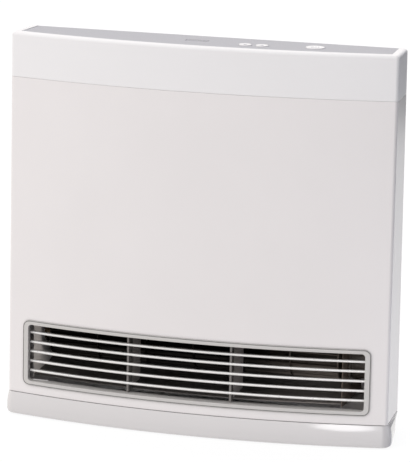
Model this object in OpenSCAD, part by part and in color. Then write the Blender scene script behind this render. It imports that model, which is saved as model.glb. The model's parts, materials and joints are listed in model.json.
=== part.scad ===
// Slim gas fan heater: bowed steel cabinet, controls on top, warm-air louvre at the foot.
// X runs to the right, the front faces -Y and Z is up; the floor is z = 0.

/* [Cabinet] */
// Width of the cabinet across its front corners
body_w = 443; // [430:1:450]
// Height of the cabinet above the floor
body_h = 440; // [436:1:470]
// Depth from the front of the base to the wall
overall_d = 140; // [139:1:150]
// How far the middle of the front stands forward of its corners
front_bow = 27.3; // [24:0.1:29]
// Depth of the cabinet's sides at the top
side_d = 55.5; // [54:0.5:57]
// How much deeper the sides are at the floor
side_lean = 14; // [4:0.5:16]
// How far each side draws in from its front corner to its back edge
side_taper = 3.5; // [1:0.1:5]
// Radius of the upright front corners
corner_r = 8; // [5:0.5:9]
// Thickness of the cabinet's steel sheet
sheet_t = 0.8; // [0.6:0.1:1]
// Width of the folded edges of the front panel
fold_w = 10; // [9:1:12]
// Visible seam between the cover, the panel and the base
seam = 0.5; // [0.3:0.1:0.8]
// Clearance round a piece that drops into another
fit_gap = 0.3; // [0.2:0.05:0.4]
// Radius of the sheet-metal screws
screw_r = 1.9; // [1.5:0.1:2.2]

/* [Top cover and controls] */
// Height of the moulded top cover
top_h = 51; // [48:1:54]
// Radius of the cover's upper edge
top_edge_r = 4; // [3:0.5:5]
// Wall of the moulded cover and base
wall_t = 2.2; // [1.8:0.1:2.6]
// Rim of the cover outside the control fascia
rim_w = 9; // [8:0.5:11]
// Thickness of the control fascia
fascia_t = 2.4; // [2:0.1:3]
// How far the fascia lies below the rim
fascia_drop = 0.5; // [0.2:0.1:0.9]
// Ledge that carries the fascia
ledge_w = 4; // [3:0.5:6]
// Radius of the power button
power_r = 10.5; // [8:0.5:12]
// Radius of the two temperature buttons
temp_r = 7; // [5:0.5:7.5]
// Travel of every button
press_travel = 1.2; // [0.8:0.1:1.6]
// How far the buttons stand above the fascia
button_proud = 1; // [0.8:0.1:1.5]
// Radial clearance of a button in the fascia
button_gap = 0.4; // [0.3:0.05:0.6]
// Width of the display window
lens_w = 26; // [20:1:34]
// Depth of the display window
lens_d = 11; // [9:0.5:13]

/* [Louvre] */
// Distance from the cabinet's corner to the louvre's frame
louvre_side = 19; // [17.5:0.5:23.5]
// Height of the louvre's frame
louvre_h = 75.4; // [72:0.2:78]
// Height of the frame's lower edge above the floor
louvre_z = 37.2; // [36:0.2:40]
// Width of the frame's visible face along its top and bottom
frame_face = 5; // [4:0.5:6]
// Width of the frame's visible face at its ends
frame_side = 6.6; // [5:0.2:7.2]
// How far the frame laps over the edge of the panel's opening
frame_lap = 3; // [2:0.5:3.5]
// Corner radius of the frame
frame_r = 8; // [6:0.5:12]
// How far the frame reaches into the cabinet
frame_depth = 12; // [10:1:13]
// How far the frame stands proud of the panel
frame_proud = 1.2; // [0.6:0.1:1.6]
// Number of blades
blade_n = 5; // [4:1:6]
// Depth of a blade, front to back
blade_d = 12; // [8:1:14]
// Thickness of a blade
blade_t = 2.7; // [1.8:0.1:3]
// Upward tilt of the blades' front edges
blade_tilt = 8; // [0:1:12]
// How far the blades lie behind the front face
blade_inset = 3.6; // [2:0.1:5]

/* [Base] */
// How far the base stands out on each side of the cabinet
base_side = 5.5; // [4:0.5:9]
// Height of the base
base_h = 26.7; // [25:0.1:28]
// How far the base's front bows out
base_bow = 28.6; // [27:0.1:30]
// How far the base stands in front of the panel
base_proud = 2; // [1.5:0.1:3]
// How far the base's sides draw in to the back
base_taper = 9; // [8:0.5:10]
// Radius of the base's front corners
base_corner_r = 13; // [11:0.5:16]
// Height of the crease below the base's sloping shoulder
shoulder_z = 14; // [12:0.5:16]
// How far the base's upper edge stands out from the cabinet
shoulder_lap = 0.8; // [0.4:0.1:1.2]
// Radius of the rubber feet
foot_r = 9; // [7:0.5:10]
// How far the feet hold the base's rim off the floor
foot_h = 1; // [0.8:0.1:2]

/* [Back] */
// Distance from the cabinet's corner in to the rear casing's side
pan_side = 23.5; // [21.5:0.5:24.5]
// How far the rear casing's top lies below the cabinet's top
pan_drop = 12; // [11:1:16]
// Height of the rear casing's bottom above the floor
pan_bottom = 38; // [36:0.5:39]
// Gap kept from the wall
wall_gap = 12; // [11:0.5:13]
// Distance from the rear casing's side in to the filter
filter_side = 22; // [20.5:0.5:30]
// Height of an air filter
filter_h = 212; // [190:1:216]
// Thickness of an air filter
filter_t = 5; // [4:0.5:6]
// Height of the filters' lower edge
filter_z = 152; // [148:1:158]
// Distance from the middle to each filter
filter_x = 28; // [24:1:31]
// How far a filter lifts out of its guides
filter_lift = 190; // [100:5:190]
// Distance between the wall bracket's screws, across
bracket_sx = 240; // [200:5:260]
// Distance between the wall bracket's screws, up
bracket_sz = 20; // [16:1:22]
// Radius of the wall screw holes
wall_hole_r = 2.75; // [2:0.25:3.5]

/* [Fan] */
// Radius of the cross-flow rotor
rotor_r = 27; // [25:0.5:27.5]
// Radius of the fan's shaft
shaft_r = 4; // [3:0.5:5]
// Running clearance of the shaft in its bearings
shaft_gap = 0.05; // [0.02:0.01:0.09]
// Number of rotor blades
rotor_blades = 24; // [16:1:30]
// Height of the fan's axis
fan_z = 86; // [85:0.5:88]
// Distance of the fan's axis in front of the rear casing
fan_back = 37.2; // [36.8:0.1:39]
// Distance from the louvre's frame in to the duct's left end
duct_side = 6.5; // [6.5:0.5:12]
// Bay for the fan's motor, right of the duct
motor_bay = 35.5; // [35.5:0.5:40]

/* [Burner] */
// Radius of the gas inlet's pipe thread
inlet_r = 10.5; // [8:0.5:10.5]
// Length of the gas inlet's thread
inlet_len = 14; // [10:1:14]
// Height of the burner's mixing tube
burner_z = 176; // [174:1:180]
// Radius of the burner's mixing tube
tube_r = 9; // [7:0.5:9.5]
// Distance from the rear casing's side in to the combustion chamber
chamber_side = 63; // [60:0.5:68]
// Depth of the combustion chamber
chamber_d = 62; // [56:1:64]
// Height of the combustion chamber
chamber_h = 176; // [160:1:180]

/* [Hidden] */
eps = 0.01;
arc_n = 24;
corner_n = 8;
edge_n = 5;
base_front_y = -overall_d / 2;
front_y = base_front_y + base_proud;
wall_y = overall_d / 2;
back_y = front_y + front_bow + side_d;
pan_y = wall_y - wall_gap;
pan_half = body_w / 2 - pan_side;
pan_in = pan_half - sheet_t;
pan_top = body_h - pan_drop;
base_w = body_w + 2 * base_side;
flange_y = back_y - 2.8;
flange_top = pan_top + 6;
cover_z = body_h - top_h;
panel_z = base_h + seam;
panel_h = cover_z - panel_z;
flange_bottom = panel_z + sheet_t + fit_gap;
bow_r = (body_w * body_w / 4 + front_bow * front_bow) / (2 * front_bow);
bow_y = front_y + bow_r;
body = [body_w, front_bow, front_y, side_d, side_taper, corner_r];
base = [base_w, base_bow, base_front_y, side_d, base_taper, base_corner_r];
head_ratio = 1.9;
head_h = 1.6;
pilot_gap = 0.1;

// Controls, with their centres on the fascia
power_at = [122.5, -20];
temp_at = [[46, -31], [65, -30]];
lens_at = [-12, -20];
fascia_z = body_h - fascia_drop - fascia_t;
lens_seat = 1;
button_foot = 1;
foot_lap = 1.5;
board_t = 1.6;
board_drop = 12;
board_z = fascia_z - board_drop;
switch_h = 4.5;
stem_r = 1.7;
post_r = 3.2;
board_x = [lens_at[0] - lens_w / 2 - 12, power_at[0] + power_r + 12];
board_y = [temp_at[0][1] - temp_r - 6, power_at[1] + power_r + 8];
post_at = [for (x = board_x) for (y = board_y)
  [x + (x == board_x[0] ? 5 : -5), y + (y == board_y[0] ? 5 : -5)]];

// Louvre
louvre_w = body_w - 2 * louvre_side;
hole_w = louvre_w - 2 * frame_lap;
hole_h = louvre_h - 2 * frame_lap;
mouth_w = louvre_w - 2 * frame_side;
mouth_h = louvre_h - 2 * frame_face;
mouth_z = louvre_z + frame_face;
blade_pitch = mouth_h / (blade_n + 0.9);
blade_half = asin((mouth_w / 2 - fit_gap) / bow_r);
stay_t = 2.4;
stay_set = 3;
stay_spine = 2;
duct_inset = blade_inset + blade_d + stay_spine + fit_gap;

// Back
filter_w = pan_half - filter_side - filter_x;
guide_t = 1;
guide_lip = 5;
filter_rim = 8;
filter_rib = 1.6;
window_m = 10;
slot_gap = 5;
bracket_t = 1.6;
bracket_half = pan_half - 3;
bracket_h = 34;
bracket_z = pan_top - 9 - bracket_h;
hook_w = 8;
hook_z = bracket_z + bracket_h - 14;
hook_rise = 7;
spacer_r = 8;
spacer_at = [pan_half - 11, 80];
gland_at = [pan_half - 15, 52];
gland_bore = 3.5;

// Fan
end_t = 1;
fan_y = pan_y - sheet_t - fan_back;
duct_left = duct_side - louvre_w / 2;
duct_right = louvre_w / 2 - motor_bay;
scroll_r0 = rotor_r + 4;
scroll_r1 = rotor_r + 11;
floor_z = mouth_z + 2;
tongue_z = mouth_z + mouth_h - 2;
rotor_left = duct_left + 12;
rotor_right = duct_right - 11;
vane_x = [for (i = [1, 2]) duct_left + i * (duct_right - duct_left) / 3];
vane_back = fan_y - rotor_r - 3;
scroll_a = [70, -90];
guide_gap = 2.5;
guide_a = [150, 118];
guide_end = [fan_y, fan_z] + (rotor_r + guide_gap) * [cos(guide_a[0]), sin(guide_a[0])];
guide_knee = [vane_back - 12, tongue_z - 1];
bearing_r = 9;
bearing_w = 8;
motor_r = 23;
motor_w = 26;
vane_chord = 6.5;
end_rise = 38;

// Burner and gas
inlet_z = 148;
inlet_y = pan_y - 20;
inlet_neck = 1.5;
inlet_relief = 1;
valve_w = 34;
valve_d = 40;
valve_h = 46;
nut_w = 5;
valve_x = -pan_in + nut_w + fit_gap + valve_w / 2;
valve_y = inlet_y - 6 - valve_d / 2;
pipe_r = 4;
pipe_bend = 8;
chamber_w = 2 * (pan_half - chamber_side);
chamber_y = -2;
chamber_z = burner_z - tube_r - 4;
tube_t = 1;
tube_out = 6;
outlet_n = 11;
outlet_w = 12;
outlet_in = 20;
head_in = 22;
burner_head_w = 24;
burner_head_h = 24;
port_n = 22;
nozzle_x = valve_x + valve_w / 2 + pipe_bend;
rod_z = burner_z + burner_head_h + 6;
electrode_x = [-60, -40];
arm_h = 16;
arm_z = [chamber_z + 28, chamber_z + chamber_h - 20];
tray_depth = 21.2;
tray_x = pan_in - tray_depth;
tray_z = arm_z[0] + arm_h + 6;
tray_h = arm_z[1] - 6 - tray_z;

// ---- Outlines: a bowed front, rounded corners and sides that draw in ----
// An outline is [width, bow, front, side depth, taper, corner radius].

function arc(c, r, a0, a1, n) =
  [for (i = [0:n]) let (a = a0 + (a1 - a0) * i / n) c + r * [cos(a), sin(a)]];
function radius_of(o) = (o[0] * o[0] / 4 + o[1] * o[1]) / (2 * o[1]);
function centre_of(o) = [0, o[2] + radius_of(o)];
function corner_of(o) = [o[0] / 2, o[2] + o[1]];
function along(o) = [-o[4], o[3]] / norm([o[4], o[3]]);
function inward(o) = [-along(o)[1], along(o)[0]];
function fillet_of(o, r) =
  let (p = corner_of(o) + r * inward(o), q = p - centre_of(o), b = q * along(o))
  p + along(o) * (-b - sqrt(b * b - q * q + pow(radius_of(o) - r, 2)));
function side_point(o, d, y) =
  let (p = corner_of(o) + d * inward(o)) p + along(o) * (y - p[1]) / along(o)[1];
function half_outline(o, d, y) =
  let (r = max(o[5], d + 1), f = fillet_of(o, r), c = centre_of(o), n = -inward(o),
       a = atan2(f[1] - c[1], f[0] - c[0]))
  concat([side_point(o, d, y)], arc(f, r - d, atan2(n[1], n[0]), a, corner_n),
         [for (i = [1:arc_n]) let (b = a + (-90 - a) * i / arc_n)
           c + (radius_of(o) - d) * [cos(b), sin(b)]]);
function outline(o, d, y) =
  let (h = half_outline(o, d, y))
  concat(h, [for (i = [len(h) - 2:-1:0]) [-h[i][0], h[i][1]]]);
function side_in(y) = side_point(body, sheet_t, y)[0];
function back_at(z) = back_y + side_lean * (body_h - z) / (body_h - base_h);

// Rounded rectangle
function round_rect(w, h, r) =
  concat(arc([w / 2 - r, h / 2 - r], r, 0, 90, 6), arc([r - w / 2, h / 2 - r], r, 90, 180, 6),
         arc([r - w / 2, r - h / 2], r, 180, 270, 6), arc([w / 2 - r, r - h / 2], r, 270, 360, 6));

// Skin over outlines of equal length, each at its own height
module skin(rings, heights) {
  n = len(rings[0]);
  m = len(rings);
  points = [for (k = [0:m - 1]) each [for (p = rings[k]) [p[0], p[1], heights[k]]]];
  sides = [for (k = [0:m - 2]) for (i = [0:n - 1]) let (a = k * n + i, b = k * n + (i + 1) % n)
    each [[a, b, b + n], [a, b + n, a + n]]];
  polyhedron(points, concat([[for (i = [n - 1:-1:0]) i]], sides,
                            [[for (i = [0:n - 1]) (m - 1) * n + i]]));
}

// Loft through outlines of one form: each level is [height, inset]
module loft(o, y, levels) {
  skin([for (v = levels) outline(o, v[1], y)], [for (v = levels) v[0]]);
}

// Solid of an outline inset by d, from the front back to y
module slab(o, d, y, z, h) {
  translate([0, 0, z]) linear_extrude(h) polygon(outline(o, d, y));
}

// Profile drawn in Y-Z and run along X from x0 to x1
module run_x(x0, x1) {
  translate([x0, 0, 0]) rotate([90, 0, 90]) linear_extrude(x1 - x0) children();
}

// Everything behind the leaning back edge of the cabinet's sides
module behind() {
  far = wall_y + body_w;
  run_x(-body_w, body_w)
    polygon([[back_at(2 * body_h), 2 * body_h], [back_at(-body_h), -body_h],
             [far, -body_h], [far, 2 * body_h]]);
}

// Rounded bar through the front, centred on the louvre
module louvre_plug(w, h, r) {
  translate([0, 0, louvre_z + louvre_h / 2]) rotate([90, 0, 0])
    linear_extrude(-front_y + 20) polygon(round_rect(w, h, r));
}

// Bowed sheet between two insets from the front face
module bowed_band(d0, d1, z, h) {
  difference() {
    slab(body, d0, front_y + front_bow, z, h);
    slab(body, d1, front_y + front_bow + 1, z - 1, h + 2);
  }
}

module box(x, y, z) {
  translate([x[0], y[0], z[0]]) cube([x[1] - x[0], y[1] - y[0], z[1] - z[0]]);
}

module tube(r0, r1, h) {
  difference() {
    cylinder(r = r1, h = h, $fn = 48);
    translate([0, 0, -1]) cylinder(r = r0, h = h + 2, $fn = 48);
  }
}

module rod_y(x, z, y0, y1, r) {
  translate([x, y1, z]) rotate([90, 0, 0]) cylinder(r = r, h = y1 - y0, $fn = 32);
}

module rod_x(y, z, x0, x1, r) {
  translate([x0, y, z]) rotate([0, 90, 0]) cylinder(r = r, h = x1 - x0, $fn = 48);
}

// Pan-head screw whose shank points to +Z from the seat of its head
module screw(len) {
  translate([0, 0, -eps]) cylinder(r = screw_r, h = len + eps, $fn = 24);
  translate([0, 0, -head_h]) cylinder(r = head_ratio * screw_r, h = head_h, $fn = 24);
}

// ---- Cabinet ----

lip_x = side_in(flange_y) - fold_w;
seat_x = lip_x - fit_gap;
casing_screw_z = [panel_z + 52.8, panel_z + 172.8, cover_z - 39];
casing_screw_at = [for (s = [-1, 1]) for (z = casing_screw_z)
  [s * (side_in(flange_y) - fold_w / 2), z]];

module front_panel() {
  fold_y = front_y + front_bow + fold_w;
  color("whitesmoke") difference() {
    union() {
      difference() {
        slab(body, 0, back_y + side_lean, panel_z, panel_h);
        slab(body, sheet_t, back_y + side_lean + 1, panel_z - 1, panel_h + 2);
        behind();
      }
      // Folded upper and lower edges
      for (z = [panel_z, cover_z - sheet_t]) difference() {
        slab(body, sheet_t / 2, fold_y, z, sheet_t);
        slab(body, fold_w, fold_y + 1, z - 1, sheet_t + 2);
      }
      // Folded back edges, screwed to the rear casing
      intersection() {
        slab(body, sheet_t / 2, back_y, panel_z + 12, panel_h - 24);
        for (s = [-1, 1]) box([min(s * lip_x, s * body_w), max(s * lip_x, s * body_w)],
                              [flange_y - sheet_t, flange_y], [0, body_h]);
      }
    }
    louvre_plug(hole_w, hole_h, frame_r - frame_lap);
    for (p = casing_screw_at) rod_y(p[0], p[1], flange_y - 3, flange_y + 1, screw_r + pilot_gap);
  }
}

// Outside (d = 0) or inside of the cover, rounded along its upper edge
module cover_form(d, low, top) {
  r = max(top_edge_r - d, 1);
  loft(body, back_y + side_lean,
       concat([[low, d]], [for (i = [0:edge_n]) let (a = 90 * i / edge_n)
         [top - r * (1 - sin(a)), d + r * (1 - cos(a))]]));
}

module top_cover() {
  ledge_z = fascia_z - wall_t;
  color("white") difference() {
    cover_form(0, cover_z, body_h);
    difference() {
      cover_form(wall_t, cover_z - 1, ledge_z);
      // Back wall over the rear casing
      difference() {
        box([-body_w, body_w], [flange_y + sheet_t + fit_gap, wall_y + body_w], [cover_z, body_h]);
        box([-pan_half - fit_gap, pan_half + fit_gap], [flange_y, wall_y + body_w + 1],
            [cover_z - 1, pan_top + fit_gap]);
      }
    }
    box([-pan_half - fit_gap, pan_half + fit_gap], [flange_y, wall_y + body_w],
        [cover_z - 1, pan_top + fit_gap]);
    // Recess for the fascia, and the opening under it
    slab(body, rim_w, back_y + side_lean, fascia_z, top_h);
    slab(body, rim_w + ledge_w, flange_y - ledge_w, ledge_z - 5, top_h);
    // Shadow gap above the front panel
    difference() {
      slab(body, -1, back_y + side_lean, cover_z - 1, 1 + seam);
      slab(body, wall_t / 2, back_y + side_lean + 1, cover_z - 2, 3 + seam);
    }
    behind();
  }
}

module control_fascia() {
  color("silver") difference() {
    union() {
      slab(body, rim_w + fit_gap, back_y - fit_gap, fascia_z, fascia_t);
      for (p = post_at) translate([p[0], p[1], board_z + board_t])
        cylinder(r = post_r, h = board_drop - board_t + eps, $fn = 32);
    }
    translate([power_at[0], power_at[1], fascia_z - 1])
      cylinder(r = power_r + button_gap, h = fascia_t + 2, $fn = 64);
    for (p = temp_at) translate([p[0], p[1], fascia_z - 1])
      cylinder(r = temp_r + button_gap, h = fascia_t + 2, $fn = 64);
    translate([lens_at[0], lens_at[1], fascia_z + lens_seat]) linear_extrude(fascia_t)
      polygon(round_rect(lens_w + 2 * fit_gap, lens_d + 2 * fit_gap, 2 + fit_gap));
    translate([lens_at[0], lens_at[1], fascia_z - 1]) linear_extrude(fascia_t)
      polygon(round_rect(lens_w - 3, lens_d - 3, 1));
    for (p = post_at) translate([p[0], p[1], board_z - 1])
      cylinder(r = screw_r - 0.6, h = board_drop - 1, $fn = 24);
  }
}

module display_lens() {
  color("dimgray") translate([lens_at[0], lens_at[1], fascia_z + lens_seat])
    linear_extrude(fascia_t - lens_seat) polygon(round_rect(lens_w, lens_d, 2));
}

module display_board() {
  color("darkgreen") difference() {
    box(board_x, board_y, [board_z, board_z + board_t]);
    for (p = post_at) translate([p[0], p[1], board_z - 1])
      cylinder(r = screw_r + pilot_gap - 0.5, h = board_t + 2, $fn = 24);
  }
  // Key switches, each round its button's stem
  color("dimgray") for (p = concat([power_at], temp_at))
    translate([p[0], p[1], board_z + board_t - eps]) tube(stem_r + fit_gap, 2.4 * stem_r, switch_h);
  color("black") translate([lens_at[0], lens_at[1], board_z + board_t - eps])
    linear_extrude(board_drop - board_t - 2) polygon(round_rect(lens_w - 4, lens_d - 4, 0.5));
}

// Dished round cap with a wider foot under the fascia and a stem into its switch
module button(p, r) {
  top = fascia_z + fascia_t + button_proud;
  foot = fascia_z - fit_gap - button_foot;
  stem_z = board_z + board_t + press_travel + fit_gap;
  dish_r = 6 * r;
  color("white") translate([p[0], p[1], 0]) difference() {
    union() {
      translate([0, 0, foot]) cylinder(r = r, h = top - foot, $fn = 64);
      translate([0, 0, foot]) cylinder(r = r + foot_lap, h = button_foot, $fn = 64);
      translate([0, 0, stem_z]) cylinder(r = stem_r, h = foot - stem_z + eps, $fn = 32);
    }
    translate([0, 0, top + dish_r - button_proud / 2]) sphere(r = dish_r, $fn = 96);
  }
}

module power_button() { button(power_at, power_r); }
module cooler_button() { button(temp_at[0], temp_r); }
module warmer_button() { button(temp_at[1], temp_r); }

// ---- Louvre ----

module louvre_frame() {
  color("silver") difference() {
    intersection() {
      bowed_band(-frame_proud, frame_depth, louvre_z - 1, louvre_h + 2);
      louvre_plug(louvre_w, louvre_h, frame_r);
    }
    // Step behind the visible face, which drops into the panel's opening
    difference() {
      slab(body, 0, back_y, louvre_z - 2, louvre_h + 4);
      louvre_plug(hole_w - 2 * fit_gap, hole_h - 2 * fit_gap, frame_r - frame_lap - fit_gap);
    }
    louvre_plug(mouth_w, mouth_h, frame_r - frame_face + 1);
  }
}

// Section of a blade, grown by g: round nose at the front, thinner tail
function blade_section(g) =
  concat(arc([(blade_d - blade_t) / 2, 0], blade_t / 2 + g, -90, 90, 4),
         arc([(blade_t - blade_d) / 2, 0], blade_t / 3 + g, 90, 270, 2));

// Blade i, swept along the bow over half an angle a to each side
module blade(i, g, a) {
  translate([0, bow_y, mouth_z + blade_pitch * (i + 0.95)]) rotate([0, 0, -90 - a])
    rotate_extrude(angle = 2 * a, $fn = 720)
      translate([bow_r - blade_inset - blade_d / 2, 0]) rotate(blade_tilt) polygon(blade_section(g));
}

module louvre_blades() {
  color("gainsboro") for (i = [0:blade_n - 1]) blade(i, 0, blade_half);
}

// Upright combs that hold the blades, in line with the duct's vanes
module louvre_stays() {
  color("gainsboro") difference() {
    for (x = vane_x) translate([0, bow_y, 0]) rotate([0, 0, asin((x + end_t / 2) / bow_r)])
      box([-stay_t / 2, stay_t / 2],
          [-bow_r + blade_inset + stay_set, -bow_r + blade_inset + blade_d + stay_spine],
          [mouth_z + fit_gap, mouth_z + mouth_h - fit_gap]);
    for (i = [0:blade_n - 1]) blade(i, pilot_gap, blade_half / 2);
  }
}

// ---- Base ----

foot_at = [for (s = [-1, 1]) for (p = [[base_w / 2 - 37, base_front_y + 44],
                                       [base_w / 2 - 77, pan_y - 18]]) [s * p[0], p[1]]];
foot_sole = 3;
foot_pin = 10;
pin_r = foot_r / 3;
base_screw_at = [for (s = [-1, 1]) [s * bracket_sx / 2, pan_y - 22]];
base_screw_len = 12;
base_boss_r = 5;
rib_t = 1.8;
rib_pitch = 64;
step_top = pan_bottom - fit_gap;
step_half = pan_half - 6;
step_front = flange_y + sheet_t + fit_gap;
step_back = pan_y - 2;

// Outside (d = 0) or inside of the base: rounded foot, upright band, and a shoulder
// that leans from the base's outline to the cabinet's
module base_form(d) {
  back = back_y + side_lean - 2 - d;
  low = outline(base, d, back);
  high = outline(body, d - shoulder_lap, back);
  lean = [[0.35, 0.2], [0.65, 0.5], [0.88, 0.8], [1, 1]];
  skin(concat([outline(base, d + 3, back), outline(base, d + 1.2, back), low, low],
              [for (k = lean) (1 - k[1]) * low + k[1] * high]),
       concat([foot_h - (d > 0 ? 1 : 0), foot_h + 1.2, foot_h + 4, shoulder_z - d],
              [for (k = lean) shoulder_z - d + (base_h - shoulder_z) * k[0]]));
}

module base_stand() {
  color("gainsboro") difference() {
    union() {
      base_form(0);
      box([-step_half, step_half], [step_front, step_back], [foot_h, step_top]);
    }
    difference() {
      union() {
        base_form(wall_t);
        box([-step_half + wall_t, step_half - wall_t], [step_front + wall_t, step_back - wall_t],
            [foot_h - 1, step_top - wall_t]);
      }
      // Ribs, foot pads and screw bosses inside the hollow base
      for (x = [-2.5 * rib_pitch:rib_pitch:2.5 * rib_pitch])
        box([x - rib_t / 2, x + rib_t / 2], [-overall_d, overall_d], [foot_h + foot_sole, body_h]);
      for (y = [base_front_y + 40, base_front_y + 76])
        box([-base_w, base_w], [y - rib_t / 2, y + rib_t / 2], [foot_h + foot_sole, body_h]);
      for (p = foot_at) translate([p[0], p[1], foot_h + foot_sole])
        cylinder(r = foot_r + 1, h = body_h, $fn = 48);
      for (p = base_screw_at) translate([p[0], p[1], step_top - base_screw_len - 4])
        cylinder(r = base_boss_r, h = body_h, $fn = 32);
    }
    for (p = foot_at) translate([p[0], p[1], 0])
      cylinder(r = pin_r + fit_gap, h = foot_pin + 1, $fn = 32);
    for (p = base_screw_at) translate([p[0], p[1], step_top - base_screw_len - 2])
      cylinder(r = screw_r + pilot_gap, h = base_screw_len + 8, $fn = 24);
  }
}

module base_feet() {
  color("dimgray") for (p = foot_at) translate([p[0], p[1], 0]) {
    cylinder(r = foot_r, h = foot_h + foot_sole, $fn = 48);
    cylinder(r = pin_r, h = foot_pin, $fn = 32);
  }
}

// ---- Back ----

module windows() {
  cols = 6;
  rows = 4;
  w = (filter_w - 2 * window_m - (cols - 1) * slot_gap) / cols;
  h = (filter_h - 2 * window_m - (rows - 1) * slot_gap) / rows;
  for (s = [-1, 1]) for (i = [0:cols - 1]) for (j = [0:rows - 1])
    translate([s * (filter_x + window_m + w / 2 + i * (w + slot_gap)) - w / 2,
               pan_y - 2 * sheet_t, filter_z + window_m + j * (h + slot_gap)])
      cube([w, 4 * sheet_t, h]);
}

module rear_casing() {
  color("lightgray") difference() {
    union() {
      // Flange that closes the front panel from behind
      intersection() {
        union() {
          slab(body, sheet_t + fit_gap, back_y, flange_bottom, cover_z - flange_bottom);
          slab(body, wall_t + fit_gap, back_y, cover_z - eps, flange_top - cover_z + eps);
        }
        box([-body_w, body_w], [flange_y, flange_y + sheet_t], [0, body_h]);
      }
      box([-pan_half, pan_half], [flange_y, pan_y], [pan_bottom, pan_top]);
    }
    box([-pan_in, pan_in], [flange_y - 1, pan_y - sheet_t],
        [pan_bottom + sheet_t, pan_top - sheet_t]);
    windows();
    for (p = casing_screw_at) rod_y(p[0], p[1], flange_y - 1, flange_y + 2, screw_r + pilot_gap);
    for (p = base_screw_at) translate([p[0], p[1], pan_bottom - 1])
      cylinder(r = screw_r + pilot_gap, h = 3, $fn = 24);
    for (s = [-1, 1]) {
      // Slots that hang on the wall bracket's hooks, and holes of the spacers
      box([s * (bracket_half - hook_w / 2) - hook_w / 2 - 0.5, s * (bracket_half - hook_w / 2) + hook_w / 2 + 0.5],
          [pan_y - 2, pan_y + 1], [hook_z - hook_rise - 1, hook_z + bracket_t + fit_gap]);
      rod_y(s * spacer_at[0], spacer_at[1], pan_y - 2, pan_y + 1, spacer_r / 2 + pilot_gap);
    }
    rod_y(gland_at[0], gland_at[1], pan_y - 2, pan_y + 1, 2 * gland_bore + pilot_gap);
    rod_x(inlet_y, inlet_z, -pan_half - 1, -pan_in + 1, inlet_r - inlet_neck + pilot_gap);
  }
}

module filter_guides() {
  top = filter_z + filter_lift + guide_lip;
  y1 = pan_y + filter_t + 2 * fit_gap;
  color("gray") for (s = [-1, 1]) difference() {
    box([s * (filter_x + filter_w / 2) - filter_w / 2 - fit_gap - guide_t,
         s * (filter_x + filter_w / 2) + filter_w / 2 + fit_gap + guide_t],
        [pan_y, y1 + guide_t], [filter_z - fit_gap - guide_t, top]);
    box([s * (filter_x + filter_w / 2) - filter_w / 2 - fit_gap,
         s * (filter_x + filter_w / 2) + filter_w / 2 + fit_gap],
        [pan_y - 1, y1], [filter_z - fit_gap, top + 1]);
    box([s * (filter_x + filter_w / 2) - filter_w / 2 + guide_lip,
         s * (filter_x + filter_w / 2) + filter_w / 2 - guide_lip],
        [y1 - 1, y1 + guide_t + 1], [filter_z + guide_lip, top + 1]);
  }
}

// Ribbed frame that holds the filter's net, with a pull tab at its top
module filter(s) {
  x0 = s * (filter_x + filter_w / 2) - filter_w / 2;
  y0 = pan_y + fit_gap;
  cols = 8;
  rows = 12;
  w = filter_w - 2 * filter_rim;
  h = filter_h - 2 * filter_rim;
  color("darkgray") {
    difference() {
      box([x0, x0 + filter_w], [y0, y0 + filter_t], [filter_z, filter_z + filter_h]);
      box([x0 + filter_rim, x0 + filter_rim + w], [y0 - 1, y0 + filter_t + 1],
          [filter_z + filter_rim, filter_z + filter_rim + h]);
    }
    for (i = [1:cols - 1]) let (x = x0 + filter_rim + i * w / cols)
      box([x - filter_rib / 2, x + filter_rib / 2], [y0 + 1, y0 + filter_t - 1],
          [filter_z + filter_rim - eps, filter_z + filter_rim + h + eps]);
    for (i = [1:rows - 1]) let (z = filter_z + filter_rim + i * h / rows)
      box([x0 + filter_rim - eps, x0 + filter_rim + w + eps], [y0 + 1, y0 + filter_t - 1],
          [z - filter_rib / 2, z + filter_rib / 2]);
    box([x0 + 0.35 * filter_w, x0 + 0.65 * filter_w], [y0 + 1, y0 + filter_t],
        [filter_z + filter_h - eps, filter_z + filter_h + 12]);
  }
}
module filter_left() { filter(-1); }
module filter_right() { filter(1); }

module wall_bracket() {
  color("silver") difference() {
    union() {
      box([-bracket_half, bracket_half], [wall_y - bracket_t, wall_y], [bracket_z, bracket_z + bracket_h]);
      for (s = [-1, 1]) translate([s * (bracket_half - hook_w / 2) - hook_w / 2, 0, 0]) {
        box([0, hook_w], [pan_y - 4, wall_y], [hook_z, hook_z + bracket_t]);
        box([0, hook_w], [pan_y - 4, pan_y - 4 + bracket_t], [hook_z, hook_z + hook_rise]);
      }
    }
    for (x = [-1, 1]) for (z = [-1, 1])
      rod_y(x * bracket_sx / 2, bracket_z + bracket_h / 2 + z * bracket_sz / 2,
            wall_y - bracket_t - 1, wall_y + 1, wall_hole_r);
  }
}

module wall_spacers() {
  color("dimgray") for (s = [-1, 1]) {
    rod_y(s * spacer_at[0], spacer_at[1], pan_y, wall_y, spacer_r);
    rod_y(s * spacer_at[0], spacer_at[1], pan_y - sheet_t - 1.2, pan_y + eps, spacer_r / 2);
  }
}

module cord_gland() {
  color("black") difference() {
    union() {
      rod_y(gland_at[0], gland_at[1], pan_y - 10, pan_y + 5, 2 * gland_bore);
      rod_y(gland_at[0], gland_at[1], pan_y, pan_y + 2, 2 * gland_bore + 1.5);
    }
    rod_y(gland_at[0], gland_at[1], pan_y - 11, pan_y + 6, gland_bore);
  }
}

// ---- Fan and its duct ----

// Spiral round the rotor, from behind its top to under it, r growing by d
function spiral(d) =
  [for (i = [0:16]) let (t = i / 16, a = scroll_a[0] + (scroll_a[1] - scroll_a[0]) * t, r = scroll_r0 + (scroll_r1 - scroll_r0) * t + d)
    [fan_y + r * cos(a), fan_z + r * sin(a)]];

module duct_cut() {
  slab(body, duct_inset, wall_y, 0, body_h);
}

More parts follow.
